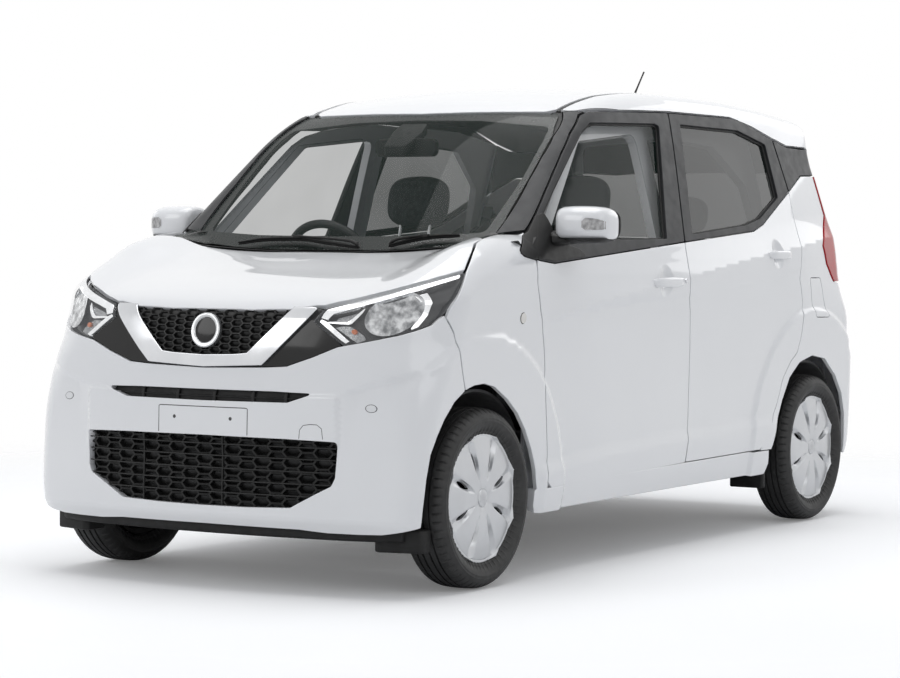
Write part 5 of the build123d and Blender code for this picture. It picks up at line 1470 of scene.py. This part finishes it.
# the black lip below the bumper, with a deflector ahead of each front wheel
lip_rows = []
for y in np.linspace(-.64, .64, 61):
    a = abs(y)
    x = 1.655 - .17 * a**2 - .42 * max(0, a - .46) ** 1.7
    lip_rows.append(np.array([(x - .05, y, .205), (x - .004, y, .204), (x + .002, y, .199),
        (x + .001, y, .176), (x - .006, y, .169), (x - .05, y, .168)]))
solid("chin_lip", loft(lip_rows), MOULDED, "body", "black_plastic", sharp=50, rounding=.003)
flap = [(1.56, .54), (1.568, .56), (1.535, .684), (1.52, .69), (1.478, .69), (1.478, .54)]
pairs("wheel_deflector", slab(flap, .136, .205, plan), MOULDED, BOTH, "black_plastic",
      rounding=.006)
flap = [(-.905, .56), (-.905, .69), (-.88, .696), (-.868, .69), (-.868, .56)]
pairs("rear_deflector", slab(flap, .15, .232, plan), MOULDED, BOTH, "black_plastic",
      rounding=.006)


# ---------------------------------------- headlamps
def lamp_sheet(name, pixels, mat, inset, lip=.006, every=.008):
    """A thin sheet inside the lamps, from its outline in the picture and its depth below the skin."""
    panel(name, NOSE_WAY, on(NOSE_WAY, "nose", *pixels), mat, BOTH, "lamp_clear", radius=.003, gap=0,
        inset=inset, every=every, lip=lip, edge=.001)


LAMP_DARK = mottled("lamp_bezel", .014, .026, .34, 60, spec=.35)
LAMP_GREY = mottled("lamp_frosted", (.2, .205, .21), (.34, .345, .35), .25, 130, metal=.8,
    grain=(260, .7, .0016))
# painted reflection: the wide dark-to-bright mottling stands in for the streaks that the chrome bowl reflects
BOWL_PAINTED_STREAKS = mottled("lamp_bowl_painted_reflections", (.16, .165, .17), (.66, .67, .68), .12, 38, metal=1.0, grain=(55, .55, .003))
BRIGHT = mottled("lamp_bright", (.82, .83, .84), (.9, .91, .92), .1, 30, metal=1.0, rough_span=.04)
BULB = mottled("bulb_orange", (.52, .12, .03), (.66, .18, .05), .25, 60, coat=.4)
lamp_sheet("lamp_floor", lamp_shape, LAMP_DARK, .03, every=.01)
lamp_sheet("light_bar_top", ((1118, 347), (1148, 314), (1400, 249), (1690, 172), (1678, 190), (1400, 270),
    (1172, 332), (1146, 360)), BRIGHT, .0045, lip=.012)
lamp_sheet("light_bar_inner", ((1112, 362), (1126, 352), (1146, 366), (1240, 450), (1216, 454)), BRIGHT,
    .006, lip=.012)
lamp_sheet("light_bar_step", ((1290, 304), (1302, 302), (1240, 372), (1226, 376), (1140, 368), (1146, 360),
    (1222, 364)), BRIGHT, .014, lip=.01)
lamp_sheet("lamp_inner_top", ((1160, 356), (1185, 338), (1288, 308), (1222, 362)), LAMP_GREY, .022)
lamp_sheet("lamp_inner_low", ((1160, 378), (1232, 380), (1292, 420), (1300, 440), (1256, 450)), LAMP_GREY,
    .022)
lamp_sheet("lamp_outer_band", ((1500, 250), (1560, 240), (1580, 290), (1560, 340), (1520, 386), (1478, 402),
    (1520, 350), (1540, 300)), BRIGHT, .014, lip=.012)


def reflector():
    """A bright oval bowl with stepped facets, sunk behind the lens; its mottled colour from dark to bright is
    painted reflection.
    """
    rim = np.array(on(NOSE_WAY, "nose", *[(1418 + 122 * math.cos(t) * (1.0 if math.cos(t) > 0 else .95) - 8
        * math.sin(t), 330 + 84 * math.sin(t) - 26 * math.cos(t)) for t in turns(64)]))
    centre = rim.mean(axis=0)
    rows, facing = [], []
    levels = [(1.05, .01), (1.00, .011), (.97, .016), (.9, .028), (.78, .04), (.62, .049), (.44, .055),
        (.24, .058), (.1, .059)]
    for size, deep in levels:
        flat = centre + (rim - centre) * size
        P = trace(*NOSE_WAY.rays(flat))
        N = gradient(P)
        angle = turns(64)
        step_in = .005 * np.sign(np.sin(angle * 9)) * (1 if .2 < size < .95 else 0)
        rows.append(P - N * (deep + step_in)[:, None])
    bowl = loft(rows)
    pairs("lamp_reflector", bowl, BOWL_PAINTED_STREAKS, BOTH, "lamp_clear", sharp=12)
    mid = rows[-1].mean(axis=0)
    out = gradient(trace(*NOSE_WAY.rays(centre[None, :])))[0]
    t1 = np.cross(out, [0, 0, 1])
    t1 /= np.linalg.norm(t1)
    t2 = np.cross(t1, out)
    post = turned([(.0, .03), (.009, .03), (.0118, .027), (.012, .004), (.019, .002), (.02, -.004)], 24)
    V = post[0]
    pairs("lamp_bulb", (mid + V[:, :1] * t1 + V[:, 1:2] * out + V[:, 2:] * t2, post[1]), LAMP_GREY, BOTH,
        "lamp_clear", sharp=40)


reflector()
lamp_sheet("indicator_bulb", [(1250 + 13 * math.cos(t), 404 + 11 * math.sin(t)) for t in turns(16)], BULB,
           .016, lip=.01)
LENS_SKIN = glass("lamp_lens_skin", (.96, .97, .98), .1)
lamp_sheet("headlamp_lens", lamp_shape, LENS_SKIN, .001, every=.01, lip=.01)


# ---------------------------------------- seats
WEAVE = mottled("seat_weave", (.03, .031, .034), (.052, .053, .057), .82, 70, grain=(1100, .25, .0004),
    spec=.2)
SEAT_VINYL = mottled("seat_side_cloth", (.018, .018, .02), (.028, .028, .03), .62, 40,
    grain=(700, .3, .0004))
POST = mottled("seat_post", (.4, .41, .42), (.52, .53, .54), .22, 40, metal=1.0)


PUFF_PRESSURE, PUFF_FRAMES, PUFF_LIMIT = 4, 20, .018


def puffed(mesh_object, cell):
    """Blows the form up as cloth, so that its faces crown and its edges pull in."""
    bpy.context.view_layer.objects.active = mesh_object
    remesh = mesh_object.modifiers.new("remesh", "REMESH")
    remesh.mode = "VOXEL"
    remesh.voxel_size = cell
    bpy.ops.object.modifier_apply(modifier=remesh.name)
    before = np.array([v.co[:] for v in mesh_object.data.vertices])
    cloth = mesh_object.modifiers.new("cloth", "CLOTH")
    cloth.settings.use_pressure = True
    cloth.settings.uniform_pressure_force = PUFF_PRESSURE
    cloth.settings.effector_weights.gravity = 0
    for frame_number in range(1, PUFF_FRAMES + 1):
        bpy.context.scene.frame_set(frame_number)
    bpy.ops.object.modifier_apply(modifier=cloth.name)
    bpy.context.scene.frame_set(1)
    after = np.array([v.co[:] for v in mesh_object.data.vertices])
    move = after - before
    far = np.linalg.norm(move, axis=1)
    move *= np.minimum(1, PUFF_LIMIT / np.maximum(far, 1e-9))[:, None]
    mesh_object.data.vertices.foreach_set("co", (before + move).ravel())
    smooth = mesh_object.modifiers.new("smooth", "SUBSURF")
    smooth.levels = 1
    bpy.ops.object.modifier_apply(modifier=smooth.name)


def cushion_mesh(half, place, power=4.2, cell=.011, seams=(), bolster=0.0):
    """A stuffed form: its width, length and thickness run along its own first, second and third axis."""
    rings = []
    for turn in np.radians(np.linspace(-82, 82, 15)):
        k = math.cos(turn) ** .42
        o = oval(64, half[0] * k, half[1] * k, power)
        rings.append(np.column_stack([o, np.full(64, half[2] * math.copysign(abs(math.sin(turn)) ** .75,
            turn))]))
    V, F = loft(rings)
    shape = new_object("cushion_form", V, F)
    puffed(shape, cell)
    P = np.array([v.co[:] for v in shape.data.vertices])
    faces = [tuple(f.vertices) for f in shape.data.polygons]
    bpy.data.objects.remove(shape)
    up = np.clip(P[:, 2] / half[2], 0, 1)
    P[:, 2] += bolster * up * np.clip(np.abs(P[:, 0]) / half[0], 0, 1) ** 4
    for axis, where in seams:
        P[:, 2] -= .006 * up * np.exp(-((np.abs(P[:, axis]) - where) / .0055) ** 2)
    return place(P), faces


def cushion(name, mesh, replaces=()):
    """A padded piece of a seat."""
    piece = solid(name, mesh, WEAVE, "body", "seat_fabric", replaces, sharp=180)


def leaning(x, z, lean, y=0.0):
    """Sets a form upright, leaning back, with its thickness facing ahead."""
    along = np.array([-math.sin(lean), 0, math.cos(lean)])
    ahead = np.array([math.cos(lean), 0, math.sin(lean)])
    return lambda P: np.array([x, y, z]) + P[:, :1] * [0, 1, 0] + P[:, 1:2] * along + P[:, 2:] * ahead


def lying(x, z, rise, y=0.0):
    """Sets a form flat, rising towards the front."""
    return lambda P: np.column_stack([x + P[:, 1], y + P[:, 0], z + P[:, 2] + rise * P[:, 1]])


SEAT_Y, LEAN_DEGREES = .33, 10.5


def seats():
    """Front seats with their rails, and the rear bench."""
    lean = math.radians(LEAN_DEGREES)
    front = (("cushion", cushion_mesh((.232, .232, .066), lying(.29, .492, .05, SEAT_Y),
        seams=((0, .125), (1, .02)), bolster=.022), .7),
        ("back", cushion_mesh((.222, .272, .056), leaning(-.03, .818, lean, SEAT_Y),
        seams=((0, .12), (1, .11)), bolster=.026), .7), ("headrest",
        cushion_mesh((.124, .092, .044), leaning(-.085, 1.205, lean, SEAT_Y), power=3.2, cell=.009), .8))
    for kind, (P, F), fill in front:
        for side, sign in (("left", 1), ("right", -1)):
            own = ("front_seats",) if kind == "cushion" and sign > 0 else ()
            cushion(f"front_seat_{kind}_{side}", (P * [1, sign, 1], F if sign > 0 else [f[::-1] for f in F]),
                own)
    shell = slab(rounded([(.48, .3), (.5, .44), (.075, .43), (-.07, .43), (-.045, .3)], .03), .13,
        .53, upright)
    pairs("seat_base", shell, SEAT_VINYL, BOTH, "seat_fabric", rounding=.008)
    foot = slab([(.4, .246), (.4, .3), (.04, .3), (.04, .246)], .14, .52, upright)
    pairs("seat_rail", foot, POST, BOTH, "under_steel", rounding=.003)
    posts = merged(*[tube(np.array([(-.05, SEAT_Y + s, 1.06), (-.072, SEAT_Y + s, 1.15)]),
        oval(12, .0065, .0065, 2), up=(0, 1, 0)) for s in (-.062, .062)])
    pairs("headrest_posts", posts, POST, BOTH, "chrome_trim", sharp=50)
    cushion("rear_cushion", cushion_mesh((.52, .212, .066), lying(-.615, .48, .06), power=7, cell=.015,
        seams=((0, .17), (1, .03))), ("rear_seat",))
    cushion("rear_backrest", cushion_mesh((.52, .268, .05), leaning(-.888, .822, lean), power=7, cell=.015,
        seams=((0, .17), (1, .1))))
    for side, y in (("left", .29), ("right", -.29)):
        cushion(f"rear_headrest_{side}", cushion_mesh((.122, .072, .038), leaning(-.962, 1.165, lean, y),
            power=3.2, cell=.01))
    base = slab(rounded([(-.4, .3), (-.4, .435), (-.8, .425), (-.87, .3)], .02), -.505, .505,
                upright)
    solid("rear_seat_base", base, SEAT_VINYL, "body", "seat_fabric", rounding=.01)


seats()

# ---------------------------------------- linings
LINING = mottled("headlining", (.2, .2, .195), (.25, .25, .245), .9, 60, grain=(900, .2, .0004), spec=.2)
DOOR_CARD = mottled("door_card", (.03, .03, .032), (.045, .045, .048), .62, 30, grain=(600, .5, .0006))
half = spots(ROOF_WAY, *[("t", x, y * .97) for x, y in [(.395, 0), (.385, .2), (.345, .43)]
    + [(.1, .468), (-.8, .468), (-1.33, .45)]])
panel("headliner", ROOF_WAY, across_y(half + [(-1.36, 0.0)]), LINING, "body", "seat_fabric", radius=.01,
    gap=0, every=.04, inset=.036, lip=.012)


def door_lining(name, outline, bodies):
    """The card inside a door, from the door skin's outline."""
    shape = inward(rounded(outline, .03, .03), .058)
    panel(name, SIDE, shape.tolist(), DOOR_CARD, bodies, "seat_fabric", radius=.0, gap=0, every=.03,
        inset=.074, lip=-.062)


door_lining("front_door_lining", front_door, FRONT_DOORS)
door_lining("rear_door_lining", rear_door, REAR_DOORS)
for kind, doors_named, x_from, x_to, z in (("front", FRONT_DOORS, .46, .08, .775),
        ("rear", REAR_DOORS, -.34, -.62, .775)):
    rest = slab(rounded([(x_from, z - .03), (x_from - .03, z + .018), (x_to, z + .02),
        (x_to - .03, z - .02)], .012), .6, .664, upright)
    pairs(f"{kind}_armrest", rest, SEAT_VINYL, doors_named, "seat_fabric", rounding=.01)
    pull = tube(np.array([(x_to + .11, .65, z + .14), (x_to + .11, .628, z + .145),
        (x_to + .02, .628, z + .145), (x_to + .02, .65, z + .14)]), oval(10, .006, .01, 2.6), up=(0, 0, 1))
    pairs(f"{kind}_inner_handle", pull, POST, doors_named, "chrome_trim", sharp=50)

HOOD_UNDER = mottled("hood_underside", (.66, .67, .685), (.72, .73, .74), .42, 8, coat=.3)
under_half = [(1.62, 0.0), (1.6, .2), (1.56, .38), (1.42, .56), (1.3, .64), (1.14, .6),
    (1.085, .5), (1.09, .2), (1.1, 0.0)]
panel("hood_inner", TOP, across_y(under_half), HOOD_UNDER, "hood", "body_white", radius=.03, gap=0,
    every=.03, inset=.022, lip=-.018)
pad_half = [(1.555, 0.0), (1.54, .2), (1.49, .33), (1.36, .46), (1.22, .5), (1.16, .44), (1.15, 0.0)]
panel("hood_pad", TOP, across_y(pad_half), DOOR_CARD, "hood", "black_plastic", radius=.04, gap=0, every=.03,
    inset=.026, lip=-.004)
inner = [(0.0, .66), (.53, .66), (.545, .72), (.545, .87), (.495, .92), (.486, 1.05), (0.0, 1.045)]
panel("tailgate_lining", TAIL_WAY, across(inner), DOOR_CARD, "tailgate", "black_plastic", radius=.03, gap=0,
    every=.03, inset=.052, lip=-.046)


# ---------------------------------------- the dash and what stands on the windscreen
DASH_SKIN = mottled("dash_grain", (.022, .022, .024), (.034, .034, .036), .58, 26, grain=(520, .6, .0008))
DASH_LIGHT = mottled("dash_panel", (.16, .155, .15), (.21, .205, .2), .5, 20, grain=(520, .4, .0006))


def dash():
    """The dash with its hump over the dials, its panels and its vents."""
    outline = rounded([(.895, .965), (.88, .77), (.78, .705), (.655, .735), (.612, .8), (.61, .88),
        (.64, .945), (.7, .975), (.8, .982)], .03, .02)
    stations = np.linspace(-.582, .582, 61)
    rows = []
    for y in stations:
        edge = np.clip((abs(y) - .5) / .085, 0, 1)
        P = outline.copy()
        centre = np.array([.76, .86])
        P = centre + (P - centre) * (1 - .16 * edge ** 2)
        hump = .018 * math.exp(-((y + .33) / .14) ** 2)
        P[:, 1] += np.where(P[:, 1] > .93, hump, 0) * np.clip((.83 - P[:, 0]) / .15, 0, 1)
        scoop = .02 * math.exp(-((y - .3) / .18) ** 6)
        P[:, 0] += np.where((P[:, 0] < .66) & (P[:, 1] > .82), scoop, 0)
        rows.append(np.column_stack([P[:, 0], np.full(len(P), y), P[:, 1]]))
    solid("dash_body", loft(rows), DASH_SKIN, "body", "black_plastic", ("dashboard",), sharp=60)
    for name, y, w, z, h in (("screen_panel", 0, .115, .895, .045), ("heater_panel", 0, .105, .815, .026),
            ("glove_box", .33, .19, .8, .05), ("dial_panel", -.33, .15, .925, .035)):
        face = oval(40, w, h, 6) + [y, z]
        front = .606 if "dial" not in name else .632
        lean = lambda a, b, hh: np.column_stack([front + hh + .25 * (b - z), a, b])
        solid(name, slab(face, -.004, .012, lean), GLOSS if name != "glove_box" else DASH_LIGHT, "body",
            "gloss_black", rounding=.002)
    vent = oval(32, .045, .03, 3)
    for k, y in enumerate((-.515, -.165, .165, .515)):
        ring = slab(vent + [y, .915], -.008, .01, lambda a, b,
            hh: np.column_stack([.622 + hh + .3 * (b - .915), a, b]))
        solid(f"air_vent_{k}", ring, MOULDED, "body", "black_plastic", rounding=.003)


dash()
cam = slab(rounded([(.47, .05), (.47, -.055), (.52, -.062), (.6, -.045), (.6, .04), (.52, .058)],
    .014, .01), 0, 1, lambda a, b, h: np.column_stack([a, b, np.full(len(a), 1.0)
    * (1.395 - .62 * (a - .592) - .006 - .034 * (1 - h))]))
solid("sensor_housing", cam, MOULDED, "body", "black_plastic", rounding=.004)
inner_glass = slab(oval(40, .112, .026, 4) + [-.01, 1.38], 0, .0015, lambda a, b,
    h: np.column_stack([.519 + h, a, b]))
solid("interior_mirror_glass", inner_glass, MIRROR_FACE, "body", "glass_green", rounding=.0004)

# ---------------------------------------- what shows of the CAD parts
CARPET = mottled("floor_carpet", (.02, .02, .022), (.04, .04, .043), .92, 90, grain=(700, .7, .0012))
CAST = mottled("cast_iron", (.06, .058, .056), (.11, .104, .098), .68, 34, metal=.6, grain=(240, .5, .001))
ALLOY = mottled("cast_alloy", (.32, .325, .33), (.42, .42, .425), .52, 22, metal=.8, grain=(300, .5, .0009))
PIPE = mottled("exhaust_steel", (.22, .2, .185), (.34, .32, .3), .46, 12, metal=.9, grain=(120, .3, .0006))
FINS = mottled("radiator_fins", (.03, .03, .032), (.075, .075, .078), .6, 240, metal=.5,
    grain=(600, .8, .0015))
LEATHER = mottled("wheel_rim_leather", (.016, .016, .017), (.026, .026, .027), .5, 30,
    grain=(420, .5, .0006))
SPRING = mottled("spring_paint", (.02, .02, .022), (.034, .034, .036), .45, 20, metal=.3,
    grain=(200, .3, .0005))
for finish, nodes in ((CARPET, ("floor_pan",)), (CAST, ("knuckle_left", "knuckle_right", "rear_axle")),
        (ALLOY, ("engine",)), (PIPE, ("exhaust",)), (FINS, ("radiator",)), (LEATHER, ("steering_wheel",)),
        (SPRING, ("struts",)), (UNDERSIDE, ("front_subframe", "front_wheelhouses", "rear_wheelhouses")),
        (MOULDED, ("fuel_tank", "steering_column", "interior_mirror"))):
    for node in nodes:
        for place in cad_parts[node].material_slots:
            place.material = finish


def fuel_flap():
    """The lid's recess with its cap."""
    pocket = inward(rounded(LID, .016, .01), -.0015)
    panel("fuel_recess", TAIL_WAY, pocket.tolist(), MOULDED, "body", "black_plastic", radius=0, gap=0,
        every=.016, inset=.044, lip=-.042)
    cap = turned([(.0, .024), (.01, .024), (.011, .02), (.028, .019), (.033, .016), (.034, 0.0),
        (.034, -.004)], 40,)
    grip = slab(oval(24, .029, .0055, 3), .015, .03, upright)
    both = merged(cap, grip)
    V = both[0] + [-1.312, .678, .85]
    solid("fuel_cap", (V, both[1]), MOULDED, "body", "black_plastic", sharp=34)


fuel_flap()


# ---------------------------------------- the studio
FLOOR_GLOW = .13
FLOOR_ENDS = 2.4, 5.2
SKY_STRENGTH = .46
SENSOR, PICTURE_WIDTH = 36, 900


def studio_floor():
    """A pale floor that keeps the car's shadow and further out lets the white backdrop show."""
    floor = new_object("floor", [(-60, -60, 0), (60, -60, 0), (60, 60, 0), (-60, 60, 0)], [(0, 1, 2, 3)],
        smooth=False)
    mat = bpy.data.materials.new("studio_floor")
    mat.use_nodes = True
    tree = mat.node_tree
    b = preset(tree.nodes["Principled BSDF"], Roughness=.6, Specular_IOR_Level=.15,
        Emission_Color=(1, 1, 1, 1))
    tree.links.new(ramp(tree, noise(tree, .8, 3), [(.3, (.945, .95, .955)), (.7, (.965, .97, .975))]),
        b.inputs["Base Color"])
    far = add(tree, "VectorMath")
    far.operation = "LENGTH"
    tree.links.new(add(tree, "TexCoord").outputs["Object"], far.inputs[0])
    fade = add(tree, "MapRange", From_Min=FLOOR_ENDS[0], From_Max=FLOOR_ENDS[1])
    fade.interpolation_type = "SMOOTHSTEP"
    tree.links.new(far.outputs["Value"], fade.inputs["Value"])
    # seen by the camera it is as pale as the backdrop
    glow = add(tree, "Math")
    glow.operation = "MULTIPLY"
    glow.inputs[1].default_value = FLOOR_GLOW
    tree.links.new(add(tree, "LightPath").outputs["Is Camera Ray"], glow.inputs[0])
    tree.links.new(glow.outputs["Value"], b.inputs["Emission Strength"])
    blended(tree, fade.outputs["Result"], b.outputs["BSDF"], add(tree, "BsdfTransparent").outputs["BSDF"],
            tree.nodes["Material Output"])
    floor.data.materials.append(mat)


def blended(tree, fac, first, second, out):
    """Two shaders mixed into an output."""
    mix = add(tree, "MixShader")
    for source, socket in ((fac, 0), (first, 1), (second, 2)):
        tree.links.new(source, mix.inputs[socket])
    tree.links.new(mix.outputs["Shader"], out.inputs["Surface"])


def sky(scene):
    """Dim to the car, and plain white to the camera, in reflections and through glass."""
    world = bpy.data.worlds.new("studio")
    scene.world = world
    world.use_nodes = True
    tree = world.node_tree
    dim = preset(tree.nodes["Background"], Color=(.93, .95, 1.0, 1), Strength=SKY_STRENGTH)
    white = add(tree, "Background", Color=(1, 1, 1, 1), Strength=1.0)
    path = add(tree, "LightPath")
    seen_by = path.outputs["Is Camera Ray"]
    for kind in ("Is Glossy Ray", "Is Transmission Ray"):
        more = add(tree, "Math")
        more.operation = "MAXIMUM"
        tree.links.new(seen_by, more.inputs[0])
        tree.links.new(path.outputs[kind], more.inputs[1])
        seen_by = more.outputs["Value"]
    blended(tree, seen_by, dim.outputs["Background"], white.outputs["Background"], tree.nodes["World Output"])


def lamps(scene):
    """Broad soft lamps from above and all round."""
    for name, at, aim, size, power in (
        ("top_light", (0, 0, 6.5), (0, 0, 0), (6, 5), 215),
        ("front_light", (7, -3.5, 3.6), (1, 0, .6), (4, 3), 85),
        ("side_light", (1, 8.5, 4.2), (0, 0, .6), (7, 3), 60),
        ("rear_light", (-8, 2, 4), (-1, 0, .8), (5, 3), 50),
        ("far_side_light", (0, -8, 4), (0, 0, .6), (6, 3), 50),
    ):
        light = bpy.data.lights.new(name, "AREA")
        light.shape = "RECTANGLE"
        light.size, light.size_y = size
        light.energy = power
        obj = bpy.data.objects.new(name, light)
        scene.collection.objects.link(obj)
        obj.location = at
        obj.rotation_euler = (Vector(aim) - Vector(at)).to_track_quat("-Z", "Y").to_euler()


def camera(scene):
    """The camera that the photograph was solved for."""
    obj = bpy.data.objects.new("camera", bpy.data.cameras.new("camera"))
    scene.collection.objects.link(obj)
    obj.data.sensor_width = SENSOR
    obj.data.lens = FOCAL * SENSOR / PICTURE_WIDTH
    basis = Matrix((RIGHT.tolist(), UP.tolist(), (-AHEAD).tolist())).transposed()
    obj.matrix_world = Matrix.Translation(EYE.tolist()) @ basis.to_4x4()
    scene.camera = obj


def studio():
    scene = bpy.context.scene
    scene.view_settings.view_transform = "Standard"
    studio_floor()
    sky(scene)
    lamps(scene)
    camera(scene)


studio()
